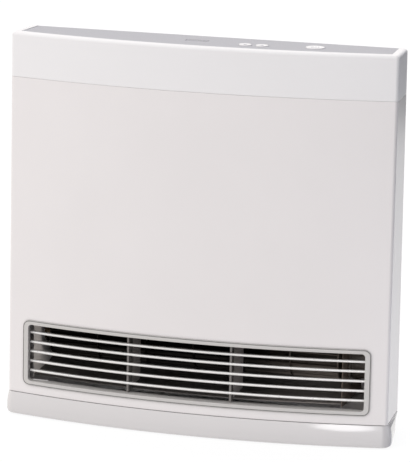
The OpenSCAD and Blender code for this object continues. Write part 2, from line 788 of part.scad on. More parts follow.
module fan_scroll() {
  lip = [front_y, floor_z];
  color("lightgray") intersection() {
    run_x(duct_left + end_t, duct_right)
      polygon(concat(spiral(0), [lip, lip - [0, sheet_t]],
                     [for (i = [16:-1:0]) spiral(sheet_t)[i]]));
    duct_cut();
  }
}

// Sheet over the outlet, ending in a rolled tongue close to the rotor
module air_guide() {
  r = rotor_r + guide_gap;
  p = arc([fan_y, fan_z], r, guide_a[0], guide_a[1], 6);
  q = arc([fan_y, fan_z], r + sheet_t, guide_a[1], guide_a[0], 6);
  color("lightgray") intersection() {
    run_x(duct_left + end_t, duct_right)
      polygon(concat([[front_y, tongue_z], guide_knee], p, q,
                     [guide_knee + [0, sheet_t], [front_y, tongue_z + sheet_t]]));
    duct_cut();
  }
}

// Height at y on the line from a to b
function on_line(a, b, y) = a[1] + (b[1] - a[1]) * (y - a[0]) / (b[0] - a[0]);

// Upright vanes that steer the air between the scroll's floor and the guide
module duct_vanes() {
  floor_end = [fan_y, fan_z - scroll_r1];
  color("lightgray") intersection() {
    for (x = vane_x) run_x(x, x + end_t)
      polygon([[front_y, floor_z + fit_gap],
               [vane_back, on_line([front_y, floor_z], floor_end, vane_back) + fit_gap],
               [vane_back, on_line(guide_knee, guide_end, vane_back) - fit_gap],
               guide_knee - [0, fit_gap],
               [front_y, tongue_z - fit_gap]]);
    duct_cut();
  }
}

module duct_end(x, hole) {
  color("lightgray") difference() {
    intersection() {
      run_x(x, x + end_t)
        polygon([[front_y, floor_z - 3], [pan_y - sheet_t, floor_z - 3],
                 [pan_y - sheet_t, fan_z + end_rise], [fan_y - end_rise, fan_z + end_rise],
                 [front_y, tongue_z + 6]]);
      duct_cut();
    }
    rod_x(fan_y, fan_z, x - 1, x + end_t + 1, hole);
  }
}
module duct_end_left() { duct_end(duct_left, bearing_r + pilot_gap); }
module duct_end_right() { duct_end(duct_right, shaft_r + 2); }

// Forward-curved blade of the rotor, by formula
function vane_side(a, t) =
  [for (i = [0:3]) let (k = i / 3, r = rotor_r - 0.4 - vane_chord * (1 - k), b = a - 16 * (1 - k) * (1 - k))
    [r * cos(b + t / r * 57.3), r * sin(b + t / r * 57.3)]];

module fan_rotor() {
  half_t = 0.4;
  color("dimgray") translate([rotor_left, fan_y, fan_z]) rotate([90, 0, 90]) {
    linear_extrude(rotor_right - rotor_left) for (i = [0:rotor_blades - 1])
      let (a = 360 * i / rotor_blades, q = vane_side(a, -half_t))
        polygon(concat(vane_side(a, half_t), [for (j = [3:-1:0]) q[j]]));
    // Solid end discs with hubs, and open rings between the bays
    for (z = [0, rotor_right - rotor_left - 1.5]) translate([0, 0, z])
      tube(shaft_r + pilot_gap / 2, rotor_r, 1.5);
    for (z = [0, rotor_right - rotor_left - 10]) translate([0, 0, z])
      tube(shaft_r + pilot_gap / 2, shaft_r + 3.5, 10);
    for (i = [1:5]) translate([0, 0, i * (rotor_right - rotor_left) / 6])
      tube(rotor_r - 8, rotor_r, 1.2);
  }
}

module fan_shaft() {
  color("silver") {
    rod_x(fan_y, fan_z, duct_left + fit_gap, rotor_left + 9, shaft_r);
    rod_x(fan_y, fan_z, rotor_right - 9, duct_right + end_t + motor_w - 3, shaft_r);
  }
}

module fan_bearing() {
  color("peru") translate([duct_left, fan_y, fan_z]) rotate([0, 90, 0]) {
    tube(shaft_r + shaft_gap, bearing_r, bearing_w);
    translate([0, 0, end_t]) tube(shaft_r + shaft_gap, bearing_r + 3, 1.5);
  }
}

module fan_motor() {
  x0 = duct_right + end_t;
  color("gray") difference() {
    union() {
      translate([x0, fan_y, fan_z]) rotate([90, 0, 90]) linear_extrude(2)
        polygon(round_rect(2 * motor_r + 8, 2 * motor_r + 8, 8));
      rod_x(fan_y, fan_z, x0, x0 + motor_w - 6, motor_r);
      rod_x(fan_y, fan_z, x0, x0 + motor_w, 9);
    }
    rod_x(fan_y, fan_z, x0 - 1, x0 + motor_w - 2, shaft_r + shaft_gap);
    // Cooling slots round the can
    for (a = [0:30:330]) translate([x0 + 5, fan_y, fan_z]) rotate([a, 0, 0])
      box([0, 9], [motor_r - 2, motor_r + 2], [-1.6, 1.6]);
  }
}

// ---- Combustion chamber and burner ----

chamber_half = chamber_w / 2;
chamber_front = chamber_y - chamber_d / 2;
chamber_back = chamber_y + chamber_d / 2;
chamber_top = chamber_z + chamber_h;

module combustion_chamber() {
  color("darkgray") difference() {
    box([-chamber_half, chamber_half], [chamber_front, chamber_back], [chamber_z, chamber_top]);
    box([-chamber_half + sheet_t, chamber_half - sheet_t],
        [chamber_front + sheet_t, chamber_back - sheet_t], [chamber_z - 1, chamber_top - sheet_t]);
    // Outlet slots along the top
    for (i = [0:outlet_n - 1])
      let (x = -chamber_half + outlet_in + i * (chamber_w - 2 * outlet_in - outlet_w) / (outlet_n - 1))
        box([x, x + outlet_w], [chamber_front + 10, chamber_back - 10], [chamber_top - 2, chamber_top + 1]);
    rod_x(chamber_y, burner_z, -chamber_half - 1, chamber_half + 1, tube_r + fit_gap);
    for (x = electrode_x) rod_y(x, rod_z, chamber_front - 1, chamber_front + 2, 4.5);
  }
}

module chamber_arms() {
  color("silver") for (s = [-1, 1]) for (z = arm_z) mirror([s < 0 ? 1 : 0, 0, 0]) {
    box([chamber_half, seat_x], [flange_y - sheet_t, flange_y], [z, z + arm_h]);
    box([chamber_half, chamber_half + sheet_t], [flange_y - 16, flange_y], [z, z + arm_h]);
  }
}

module heat_baffle() {
  top = chamber_top + 15;
  color("darkgray") difference() {
    box([-chamber_half, chamber_half], [chamber_front - 4, chamber_back], [chamber_top, top]);
    box([-chamber_half + sheet_t, chamber_half - sheet_t],
        [chamber_front - 5, chamber_back + 1], [chamber_top - 1, top - sheet_t]);
    box([-chamber_half - 1, chamber_half + 1], [chamber_front - 5, chamber_front], [chamber_top - 1, top - 6]);
  }
}

module burner() {
  half = chamber_half + tube_out;
  head_half = chamber_half - head_in;
  head_top = burner_z + burner_head_h;
  color("slategray") difference() {
    union() {
      rod_x(chamber_y, burner_z, -half, half, tube_r);
      box([-head_half, head_half], [chamber_y - burner_head_w / 2, chamber_y + burner_head_w / 2],
          [burner_z + 5, head_top]);
    }
    rod_x(chamber_y, burner_z, -half - 1, half - tube_t, tube_r - tube_t);
    box([-head_half + tube_t, head_half - tube_t],
        [chamber_y - burner_head_w / 2 + tube_t, chamber_y + burner_head_w / 2 - tube_t],
        [burner_z, head_top - tube_t]);
    for (i = [0:port_n - 1]) let (x = -head_half + 6 + i * (2 * head_half - 12) / (port_n - 1))
      box([x - 0.8, x + 0.8], [chamber_y - 8, chamber_y + 8], [head_top - 2, head_top + 1]);
  }
}

module burner_nozzle() {
  color("gold") difference() {
    union() {
      box([nozzle_x - 6, nozzle_x + 6], [chamber_y - 6, chamber_y + 6], [burner_z - 7, burner_z + 6]);
      rod_x(chamber_y, burner_z, nozzle_x + 6 - eps, nozzle_x + 10, 3);
    }
    rod_x(chamber_y, burner_z, nozzle_x - 4, nozzle_x + 11, 0.8);
    translate([nozzle_x, chamber_y, burner_z - 8]) cylinder(r = 1.5, h = 8, $fn = 24);
  }
}

module electrode_plate() {
  color("silver") difference() {
    box([electrode_x[0] - 12, electrode_x[1] + 12], [chamber_front - 1.2, chamber_front], [rod_z - 10, rod_z + 10]);
    for (x = electrode_x) rod_y(x, rod_z, chamber_front - 2, chamber_front + 1, 4);
  }
}

// Ceramic sleeve through the chamber's wall with a wire that reaches over the burner
module electrode(x, reach) {
  color("white") difference() {
    union() {
      rod_y(x, rod_z, chamber_front - 14, chamber_front + 8, 4 - pilot_gap);
      rod_y(x, rod_z, chamber_front - 5, chamber_front - 1.2, 5.5);
    }
    rod_y(x, rod_z, chamber_front - 15, chamber_front + 9, 1.2);
  }
  color("silver") rod_y(x, rod_z, chamber_front - 19, reach, 1.2);
}
module spark_electrode() { electrode(electrode_x[0], chamber_y - 6); }
module flame_rod() { electrode(electrode_x[1], chamber_y + 6); }

// ---- Gas train ----

module gas_inlet() {
  elbow_back = inlet_y + inlet_r;
  color("gold") difference() {
    union() {
      rod_x(inlet_y, inlet_z, -pan_half - inlet_relief - inlet_len, -pan_half - inlet_relief, inlet_r);
      rod_x(inlet_y, inlet_z, -pan_half - inlet_relief - eps, -pan_in + 3, inlet_r - inlet_neck);
      translate([-pan_in, inlet_y, inlet_z]) rotate([0, 90, 0]) cylinder(r = inlet_r + 3, h = nut_w, $fn = 6);
      box([-pan_in + 3, valve_x + 10], [valve_y + valve_d / 2, elbow_back], [inlet_z - 9, inlet_z + 9]);
    }
    rod_x(inlet_y, inlet_z, -pan_half - 2 * inlet_len, valve_x, 0.6 * inlet_r);
  }
}

module gas_valve() {
  y0 = valve_y - valve_d / 2;
  color("lightgray") {
    box([valve_x - valve_w / 2, valve_x + valve_w / 2], [y0, y0 + valve_d],
        [inlet_z - valve_h / 2, inlet_z + valve_h / 2]);
    rod_y(valve_x, inlet_z, y0 - 8, y0 + eps, 13);
    rod_y(valve_x, inlet_z, y0 - 14, y0 - 8 + eps, 5);
  }
}

module valve_coils() {
  top = inlet_z + valve_h / 2;
  color("saddlebrown") for (y = [valve_y - 10, valve_y + 10])
    translate([valve_x, y, top]) {
      cylinder(r = 8.5, h = 18, $fn = 48);
      cylinder(r = 4, h = 21, $fn = 32);
    }
}

module gas_pipe() {
  x0 = valve_x + valve_w / 2;
  z0 = inlet_z - 12;
  color("peru") {
    translate([x0, chamber_y, z0 + pipe_bend]) rotate([90, 0, 0]) rotate([0, 0, -90])
      rotate_extrude(angle = 90, $fn = 64) translate([pipe_bend, 0]) circle(r = pipe_r, $fn = 32);
    translate([nozzle_x, chamber_y, z0 + pipe_bend - eps])
      cylinder(r = pipe_r, h = burner_z - 7 - z0 - pipe_bend + eps, $fn = 32);
  }
}

// ---- Electrics ----

board_inset = 4;
standoff = 5;
relay = [12, 12, 16];
chip = [2, 14, 14];
terminals = [8, 8, 40];
can_r = 6;
core = [33, 12, 34];
winding = [25, 30, 26];
core_z = 132;
igniter = [30, 24, 60];
igniter_z = 222;
switch_body = [9, 14, 22];
switch_z = 96;
sensor = [12, 6, 16];
overheat_x = 70;
board_d = 46;
tray_y0 = flange_y - board_d;
board_screw_at = [for (y = [tray_y0 + 5, flange_y - board_inset - 5]) for (z = [tray_z + 6, tray_z + tray_h - 6])
  [y, z]];

module board_tray() {
  color("silver") difference() {
    union() {
      box([tray_x, tray_x + sheet_t], [tray_y0, flange_y], [tray_z, tray_z + tray_h]);
      box([tray_x, seat_x], [flange_y - sheet_t, flange_y], [tray_z, tray_z + tray_h]);
      for (p = board_screw_at) rod_x(p[0], p[1], tray_x, tray_x + sheet_t + standoff, 3);
    }
    for (p = board_screw_at) rod_x(p[0], p[1], tray_x - 1, tray_x + standoff + 2, screw_r - 0.5);
  }
}

module control_board() {
  x0 = tray_x + sheet_t + standoff;
  color("darkgreen") difference() {
    box([x0, x0 + board_t], [tray_y0, flange_y - board_inset], [tray_z + 1, tray_z + tray_h - 1]);
    for (p = board_screw_at) rod_x(p[0], p[1], x0 - 1, x0 + board_t + 1, screw_r + pilot_gap);
  }
  // Two relays, the processor, the terminal row and a capacitor
  color("black") translate([x0 + board_t - eps, tray_y0, tray_z]) {
    for (z = [16, 36]) box([0, relay[0]], [10, 10 + relay[1]], [z, z + relay[2]]);
    box([0, chip[0]], [12, 12 + chip[1]], [60, 60 + chip[2]]);
    box([0, terminals[0]], [30, 30 + terminals[1]], [20, 20 + terminals[2]]);
    translate([0, 30, 78]) rotate([0, 90, 0]) cylinder(r = can_r, h = 14, $fn = 32);
  }
}

// Laminated core with its winding through the middle
module transformer() {
  x = seat_x - core[0] / 2;
  z = core_z + core[2] / 2;
  color("dimgray") {
    box([x - core[0] / 2, x + core[0] / 2], [flange_y - core[1], flange_y], [core_z, core_z + core[2]]);
    box([x - winding[0] / 2, x + winding[0] / 2], [flange_y - winding[1], flange_y - core[1] + eps],
        [z - winding[2] / 2, z + winding[2] / 2]);
  }
}

module igniter_module() {
  color("black") {
    box([-seat_x, -seat_x + igniter[0]], [flange_y - igniter[1], flange_y], [igniter_z, igniter_z + igniter[2]]);
    translate([-seat_x + igniter[0] / 2, flange_y - igniter[1] / 2, igniter_z + igniter[2] - eps])
      cylinder(r = 4, h = 8, $fn = 32);
  }
}

module overheat_switch() {
  z = chamber_top - 30;
  color("silver") {
    rod_y(overheat_x, z, chamber_front - 2, chamber_front, 11);
    rod_y(overheat_x, z, chamber_front - 9, chamber_front - 2 + eps, 8);
  }
}

module tilt_switch() {
  color("black") box([seat_x - switch_body[0], seat_x], [flange_y - switch_body[1], flange_y],
                     [switch_z, switch_z + switch_body[2]]);
}

// Thermistor on its clip, inside the rear casing near its top
module room_sensor() {
  y = pan_y - sheet_t - sensor[1];
  z = pan_top - 14 - sensor[2];
  color("white") {
    box([-sensor[0] / 2, sensor[0] / 2], [y, y + sensor[1]], [z, z + sensor[2]]);
    rod_y(0, z + sensor[2] / 2, y - 6, y + eps, 2.5);
  }
}

// ---- Screws ----

module casing_screws() {
  color("silver") for (p = casing_screw_at)
    translate([p[0], flange_y + sheet_t, p[1]]) rotate([90, 0, 0]) screw(6);
}

module base_screws() {
  color("silver") for (p = base_screw_at)
    translate([p[0], p[1], pan_bottom + sheet_t]) rotate([180, 0, 0]) screw(base_screw_len);
}

module board_screws() {
  color("silver") for (p = board_screw_at)
    translate([tray_x + sheet_t + standoff + board_t, p[0], p[1]]) rotate([0, -90, 0]) screw(board_t - 0.2);
}

front_panel();
top_cover();
control_fascia();
display_lens();
display_board();
power_button();
cooler_button();
warmer_button();
louvre_frame();
louvre_blades();
louvre_stays();
base_stand();
base_feet();
rear_casing();
filter_guides();
filter_left();
filter_right();
wall_bracket();
wall_spacers();
fan_scroll();
air_guide();
duct_vanes();
duct_end_left();
duct_end_right();
fan_rotor();
fan_shaft();
fan_bearing();
fan_motor();
combustion_chamber();
chamber_arms();
heat_baffle();
burner();
burner_nozzle();
electrode_plate();
spark_electrode();
flame_rod();
gas_inlet();
gas_valve();
valve_coils();
gas_pipe();
board_tray();
control_board();
transformer();
igniter_module();
overheat_switch();
tilt_switch();
room_sensor();
cord_gland();
casing_screws();
base_screws();
board_screws();
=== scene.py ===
# Slim gas fan heater, dressed for the photograph's view
import json
import math
import random

import bmesh
import bpy
from mathutils import Matrix, Vector


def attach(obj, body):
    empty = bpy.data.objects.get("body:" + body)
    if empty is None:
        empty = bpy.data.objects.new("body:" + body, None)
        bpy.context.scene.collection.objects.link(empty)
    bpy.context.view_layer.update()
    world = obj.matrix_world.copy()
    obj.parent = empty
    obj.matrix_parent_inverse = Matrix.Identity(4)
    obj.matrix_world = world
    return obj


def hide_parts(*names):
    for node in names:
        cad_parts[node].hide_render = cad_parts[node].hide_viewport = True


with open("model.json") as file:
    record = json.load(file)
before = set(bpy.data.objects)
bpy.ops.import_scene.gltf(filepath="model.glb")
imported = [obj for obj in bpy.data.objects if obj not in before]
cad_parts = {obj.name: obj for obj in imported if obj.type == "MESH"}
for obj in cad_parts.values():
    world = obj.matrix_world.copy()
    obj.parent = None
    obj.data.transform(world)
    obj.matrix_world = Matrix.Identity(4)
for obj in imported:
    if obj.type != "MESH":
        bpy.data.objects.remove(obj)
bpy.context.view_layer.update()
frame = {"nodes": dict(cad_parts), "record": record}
nodes = frame["nodes"]
print("frame loaded:", len(nodes), "nodes")

mm = 0.001
finishes = {}


def put(tree, kind, inputs=None, **options):  # a new node, with its values set and sockets joined
    node = tree.nodes.new("ShaderNode" + kind)
    for key, value in options.items():
        setattr(node, key, value)
    for key, value in (inputs or {}).items():
        if isinstance(value, bpy.types.NodeSocket):
            tree.links.new(value, node.inputs[key])
        else:
            node.inputs[key].default_value = value
    return node


def combine(tree, operation, a, b):
    return put(tree, "Math", {0: a, 1: b}, operation=operation).outputs[0]


def times(tree, a, b):
    return combine(tree, "MULTIPLY", a, b)


def ramp(tree, value, low, high, first=0.0, last=1.0, curve="LINEAR"):
    return put(tree, "MapRange", {"Value": value, "From Min": low, "From Max": high, "To Min": first,
                                  "To Max": last}, interpolation_type=curve).outputs[0]


def axisOf(tree, place, axis):
    return put(tree, "SeparateXYZ", {0: place}).outputs[axis]


def darken(tree, colour, amount):
    return put(tree, "VectorMath", {0: colour, "Scale": amount}, operation="SCALE").outputs[0]


# what holds for every finish, and what a look below says when it leaves something out
texture = {"toneLow": 0.3, "toneHigh": 0.7, "cloudDetail": 4.0, "grainDetail": 3.0, "bandWobble": 0.3,
           "creviceRays": 6, "creviceLow": 0.4, "creviceHigh": 0.95, "creviceFade": 0.02}
standardLook = {"grain": "peel", "grainTone": 0.0, "stretch": (1, 1, 1), "along": "Z", "cloud": 9.0,
                "depth": 0.0001, "surface": {}, "shadeFades": (), "creviceShade": None}


def grainOf(tree, look, where):  # height of the fine surface texture, by kind
    kind, scale = look["grain"], look["scale"]
    if kind == "spangle":  # zinc crystals
        return put(tree, "TexVoronoi", {"Vector": where, "Scale": scale}).outputs["Color"]
    if kind == "bands":  # wound turns or stacked sheets
        wave = {"Vector": where, "Scale": scale, "Distortion": texture["bandWobble"]}
        return put(tree, "TexWave", wave, bands_direction=look["along"]).outputs["Fac"]
    if kind == "cells":  # cast or sandblasted skin
        return put(tree, "TexVoronoi", {"Vector": where, "Scale": scale},
                   feature="SMOOTH_F1").outputs["Distance"]
    return put(tree, "TexNoise", {"Vector": where, "Scale": scale,
                                  "Detail": texture["grainDetail"]}).outputs["Fac"]


def makeFinish(name, look):
    material = bpy.data.materials.new(name)
    material.use_nodes = True
    tree = material.node_tree
    tree.nodes.clear()
    surface = put(tree, "BsdfPrincipled", look["surface"])
    put(tree, "OutputMaterial", {"Surface": surface.outputs[0]})
    place = put(tree, "TexCoord").outputs["Object"]
    where = put(tree, "Mapping", {"Vector": place, "Scale": look["stretch"]}).outputs[0]
    cloud = put(tree, "TexNoise", {"Vector": place, "Scale": look["cloud"],
                                   "Detail": texture["cloudDetail"]}).outputs["Fac"]
    grain = grainOf(tree, look, where)
    # slow drift of tone, with a little of the grain in it
    level = combine(tree, "ADD", cloud, times(tree, grain, look["grainTone"]))
    tone = put(tree, "ValToRGB", {"Fac": level})
    ends = (texture["toneLow"], texture["toneHigh"])
    for element, position, shade in zip(tone.color_ramp.elements, ends, look["tones"]):
        element.position = position
        element.color = (*shade, 1)
    colour = tone.outputs[0]
    for axis, start, stop, depth in look["shadeFades"]:  # painted shade: darker from one place to another
        dark = ramp(tree, axisOf(tree, place, axis), start, stop, 1.0, depth, "SMOOTHSTEP")
        colour = darken(tree, colour, dark)
    if look["creviceShade"]:  # painted shade where the surface meets its neighbour, darkest where ambient occlusion finds it closed in, up to some height
        reach, depth, top = look["creviceShade"]
        free = put(tree, "AmbientOcclusion", {"Distance": reach},
                   samples=texture["creviceRays"]).outputs["AO"]
        dark = ramp(tree, free, texture["creviceLow"], texture["creviceHigh"], depth)
        clear = ramp(tree, axisOf(tree, place, "Z"), top, top + texture["creviceFade"])
        colour = darken(tree, colour, combine(tree, "MAXIMUM", dark, clear))
    tree.links.new(colour, surface.inputs["Base Color"])
    tree.links.new(ramp(tree, grain, *ends, *look["rough"]), surface.inputs["Roughness"])
    bump = put(tree, "Bump", {"Height": grain, "Strength": look["bump"], "Distance": look["depth"]})
    tree.links.new(bump.outputs[0], surface.inputs["Normal"])
    finishes[name] = material


def near(shade, spread):  # a darker and a lighter shade round one colour
    return [tuple(c * (1 - spread) for c in shade), tuple(min(1.0, c * (1 + spread)) for c in shade)]


# one look for each slot of the record, and variants: "slot" names theirs, "like" what they start from
looks = {
    "white_paint": {"tones": near((0.81, 0.772, 0.765), 0.012), "rough": (0.34, 0.42), "scale": 520,
                    "bump": 0.10, "depth": 0.0002,
                    "surface": {"Coat Weight": 0.8, "Coat Roughness": 0.14}},
    # the panel gets painted shade where it meets its neighbours, below 0.2 m
    "panelPaint": {"like": "white_paint", "creviceShade": (0.004, 0.45, 0.2)},
    "white_plastic": {"tones": near((0.838, 0.818, 0.818), 0.01), "rough": (0.30, 0.38), "scale": 1300,
                      "bump": 0.06, "surface": {"Coat Weight": 0.2, "Coat Roughness": 0.2}},
    "grey_plastic": {"tones": near((0.391, 0.384, 0.411), 0.015), "rough": (0.42, 0.52), "grain": "cells",
                     "scale": 1600, "bump": 0.18},
    "base_plastic": {"tones": near((0.665, 0.638, 0.635), 0.012), "rough": (0.30, 0.38), "scale": 900,
                     "bump": 0.03, "surface": {"Coat Weight": 1.0, "Coat Roughness": 0.06, "Coat IOR": 1.85}},
    "smoked_lens": {"tones": near((0.26, 0.255, 0.28), 0.02), "rough": (0.24, 0.28), "scale": 300,
                    "bump": 0.02, "surface": {"IOR": 1.25}},
    "satin_silver": {"tones": near((0.56, 0.545, 0.53), 0.02), "rough": (0.30, 0.40), "scale": 1800,
                     "bump": 0.08, "surface": {"Metallic": 0.75}},
    "blade_metal": {"tones": near((0.80, 0.79, 0.775), 0.02), "rough": (0.26, 0.36), "scale": 900,
                    "stretch": (0.06, 1, 1), "bump": 0.06, "surface": {"Metallic": 0.55}},
    "filter_plastic": {"tones": near((0.06, 0.062, 0.068), 0.05), "rough": (0.5, 0.62), "grain": "cells",
                       "scale": 1500, "bump": 0.2},
    "circuit_board": {"tones": [(0.015, 0.10, 0.04), (0.03, 0.17, 0.07)], "rough": (0.25, 0.4),
                      "scale": 420, "stretch": (1, 1, 0.3), "grainTone": 0.5, "bump": 0.12,
                      "surface": {"Coat Weight": 0.3}},
    "rubber": {"tones": near((0.028, 0.028, 0.03), 0.1), "rough": (0.68, 0.82), "grain": "cells",
               "scale": 1100, "bump": 0.35, "depth": 0.0002},
    "galvanised": {"tones": [(0.34, 0.33, 0.32), (0.46, 0.45, 0.44)], "rough": (0.40, 0.58),
                   "grain": "spangle", "scale": 130, "grainTone": 0.45, "bump": 0.03,
                   "surface": {"Metallic": 0.35}},
    "netNylon": {"slot": "filter_plastic", "tones": near((0.10, 0.10, 0.105), 0.05), "rough": (0.4, 0.5),
                 "scale": 900, "bump": 0.1, "depth": 0.00005},
    "markInk": {"like": "netNylon", "slot": "white_plastic", "tones": near((0.34, 0.33, 0.36), 0.03),
                "bump": 0.03},
    "solder": {"slot": "circuit_board", "tones": near((0.55, 0.55, 0.56), 0.1), "rough": (0.25, 0.4),
               "grain": "cells", "scale": 2500, "bump": 0.2, "depth": 0.00005,
               "surface": {"Metallic": 1.0}},
    "relayShell": {"like": "solder", "tones": near((0.03, 0.05, 0.12), 0.1), "rough": (0.3, 0.4),
                   "scale": 1200, "bump": 0.1, "surface": {}},
    "chipShell": {"like": "solder", "tones": near((0.02, 0.02, 0.022), 0.1), "rough": (0.45, 0.6),
                  "surface": {}},
    "plugShell": {"like": "netNylon", "slot": "circuit_board", "tones": near((0.66, 0.64, 0.58), 0.04),
                  "bump": 0.05},
    "coreSheets": {"slot": "coil_tape", "tones": [(0.09, 0.09, 0.095), (0.2, 0.2, 0.21)], "rough": (0.4, 0.6),
                   "grain": "bands", "along": "Y", "scale": 320, "grainTone": 0.5, "bump": 0.5,
                   "depth": 0.0002, "surface": {"Metallic": 0.8}},
    # a light copy of the zinc: painted light on the duct's left wall
    "wallZinc": {"slot": "galvanised", "tones": near((0.80, 0.76, 0.73), 0.05), "rough": (0.45, 0.6),
                 "grain": "spangle", "scale": 150, "grainTone": 0.3, "bump": 0.03,
                 "surface": {"Metallic": 0.1}},
    # a light copy of the zinc, with painted shade fading it darker deeper into the scroll and towards the
    # middle
    "floorZinc": {"like": "wallZinc", "tones": near((0.70, 0.63, 0.60), 0.05),
                  "shadeFades": [("Y", -0.052, -0.020, 0.4), ("X", 0.14, 0.04, 0.3)]},
    # a dark copy of the zinc: painted shade on the duct's right end and the air guide
    "shadeZinc": {"like": "wallZinc", "tones": near((0.27, 0.215, 0.18), 0.06), "rough": (0.6, 0.75),
                  "surface": {"Metallic": 0.2}},
    "vaneZinc": {"like": "wallZinc", "tones": near((0.60, 0.55, 0.52), 0.06), "rough": (0.5, 0.65)},
    # a dark copy of the blade metal: painted shade on the stays behind the blades
    "stayShade": {"slot": "blade_metal", "tones": near((0.20, 0.185, 0.175), 0.04), "rough": (0.45, 0.6),
                  "scale": 900, "bump": 0.06, "surface": {"Metallic": 0.2}},
    # the bezel gets painted shade along its outer edge, where it sits on the panel
    "bezelSatin": {"slot": "satin_silver", "tones": near((0.59, 0.57, 0.55), 0.015), "rough": (0.34, 0.44),
                   "scale": 1800, "bump": 0.06, "creviceShade": (0.0016, 0.62, 0.2),
                   "surface": {"Metallic": 0.15}},
    "aluminised": {"tones": [(0.25, 0.235, 0.215), (0.36, 0.345, 0.325)], "rough": (0.4, 0.6),
                   "scale": 260, "stretch": (0.08, 1, 1), "grainTone": 0.3, "bump": 0.08,
                   "surface": {"Metallic": 0.85}},
    # painted shade: the rotor's tones are kept dark and fade darker along X towards the duct's middle
    "fan_metal": {"tones": [(0.15, 0.13, 0.115), (0.21, 0.18, 0.16)], "shadeFades": [("X", 0.15, 0.03, 0.1)],
                  "rough": (0.5, 0.65), "scale": 500, "stretch": (0.05, 1, 1), "grainTone": 0.3,
                  "bump": 0.08, "surface": {"Metallic": 0.9}},
    "bright_steel": {"tones": near((0.60, 0.61, 0.63), 0.04), "rough": (0.22, 0.34), "scale": 700,
                     "stretch": (1, 1, 0.1), "grainTone": 0.2, "bump": 0.06, "surface": {"Metallic": 1.0}},
    "bronze": {"tones": near((0.13, 0.095, 0.06), 0.08), "rough": (0.42, 0.55), "grain": "cells",
               "scale": 1400, "bump": 0.2, "surface": {"Metallic": 0.9}},
    "brass": {"tones": near((0.66, 0.50, 0.22), 0.05), "rough": (0.24, 0.38), "scale": 420,
              "stretch": (0.1, 1, 1), "grainTone": 0.2, "bump": 0.06, "surface": {"Metallic": 1.0}},
    "copper": {"tones": [(0.52, 0.24, 0.13), (0.70, 0.36, 0.22)], "rough": (0.26, 0.44), "scale": 180,
               "grainTone": 0.3, "bump": 0.05, "surface": {"Metallic": 1.0}},
    "burner_steel": {"tones": [(0.20, 0.17, 0.15), (0.34, 0.30, 0.27)], "rough": (0.36, 0.52),
                     "scale": 240, "stretch": (0.15, 1, 1), "grainTone": 0.4, "cloud": 30.0,
                     "bump": 0.08, "surface": {"Metallic": 0.95}},
    "cast_alloy": {"tones": near((0.40, 0.405, 0.41), 0.05), "rough": (0.45, 0.6), "grain": "cells",
                   "scale": 900, "bump": 0.4, "depth": 0.00015, "surface": {"Metallic": 0.85}},
    "motor_paint": {"tones": near((0.135, 0.115, 0.10), 0.06), "rough": (0.35, 0.48), "scale": 600,
                    "bump": 0.14, "surface": {"Coat Weight": 0.2}},
    "coil_tape": {"tones": [(0.30, 0.17, 0.05), (0.42, 0.26, 0.09)], "rough": (0.3, 0.45), "grain": "bands",
                  "scale": 160, "grainTone": 0.4, "bump": 0.3, "depth": 0.0002,
                  "surface": {"Coat Weight": 0.3}},
    "ceramic": {"tones": near((0.80, 0.78, 0.74), 0.02), "rough": (0.16, 0.26), "scale": 800,
                "bump": 0.05, "surface": {"Coat Weight": 0.5}},
    "black_plastic": {"tones": near((0.018, 0.018, 0.02), 0.1), "rough": (0.38, 0.5), "grain": "cells",
                      "scale": 1500, "bump": 0.2},
}
for name, look in looks.items():
    looks[name] = {**standardLook, "slot": name, **looks.get(look.get("like"), {}), **look}
    makeFinish(name, looks[name])
for part in frame["record"]["subparts"]:
    nodes[part["node"]].material_slots[0].material = finishes[part["material_slot"]]
print("materials made:", len(finishes))


def show(item):
    bpy.context.scene.collection.objects.link(item)
    return item


def makePiece(name, bm, finishNames, replaced=(), body="cabinet", crease=35.0, recalc=True):
    if recalc:
        bmesh.ops.recalc_face_normals(bm, faces=bm.faces)
    for face in bm.faces:
        face.smooth = True
    limit = math.radians(crease)
    for edge in bm.edges:
        edge.smooth = len(edge.link_faces) == 2 and edge.calc_face_angle(0.0) < limit
    mesh = bpy.data.meshes.new(name)
    bm.to_mesh(mesh)
    bm.free()
    finishNames = [finishNames] if isinstance(finishNames, str) else finishNames
    for finish in finishNames:
        mesh.materials.append(finishes[finish])
    piece = show(bpy.data.objects.new(name, mesh))
    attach(piece, body)
    if replaced:
        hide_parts(*replaced)
    return piece


merging = {"doubles": 2e-6, "flatness": 0.1}  # how close corners are to be one, and faces to be flat


def mergedCopy(nodeName):  # the node's triangles, welded and cleaned
    bm = bmesh.new()
    bm.from_mesh(nodes[nodeName].data)
    bmesh.ops.remove_doubles(bm, verts=bm.verts, dist=merging["doubles"])
    bmesh.ops.dissolve_limit(bm, angle_limit=math.radians(merging["flatness"]), verts=bm.verts,
                             edges=bm.edges)
    return bm


def softEdges(piece, width, steps=2, crease=30.0):
    bevel = piece.modifiers.new("softEdges", "BEVEL")
    bevel.width = width
    bevel.segments = steps
    bevel.profile = 0.5
    bevel.limit_method = "ANGLE"
    bevel.angle_limit = math.radians(crease)
    even = piece.modifiers.new("evenShading", "WEIGHTED_NORMAL")
    even.mode = "FACE_AREA"
    even.weight = 60  # broad faces stay flat


def softPiece(name, bm, nodeName, finish, width, body="cabinet", steps=2):
    softEdges(makePiece(name, bm, finish, [nodeName], body, crease=180, recalc=False), width, steps)


def softCopy(name, nodeName, finish, width, body="cabinet", steps=2):
    softPiece(name, mergedCopy(nodeName), nodeName, finish, width, body, steps)


def only(geom, kind):
    return [item for item in geom if isinstance(item, kind)]


def edgesOf(verts):  # each edge once, in the same order on every run
    return list(dict.fromkeys(e for v in verts for e in v.link_edges))


def boxOf(points):  # lowest and highest corner
    return [Vector([end(p[i] for p in points) for i in range(3)]) for end in (min, max)]


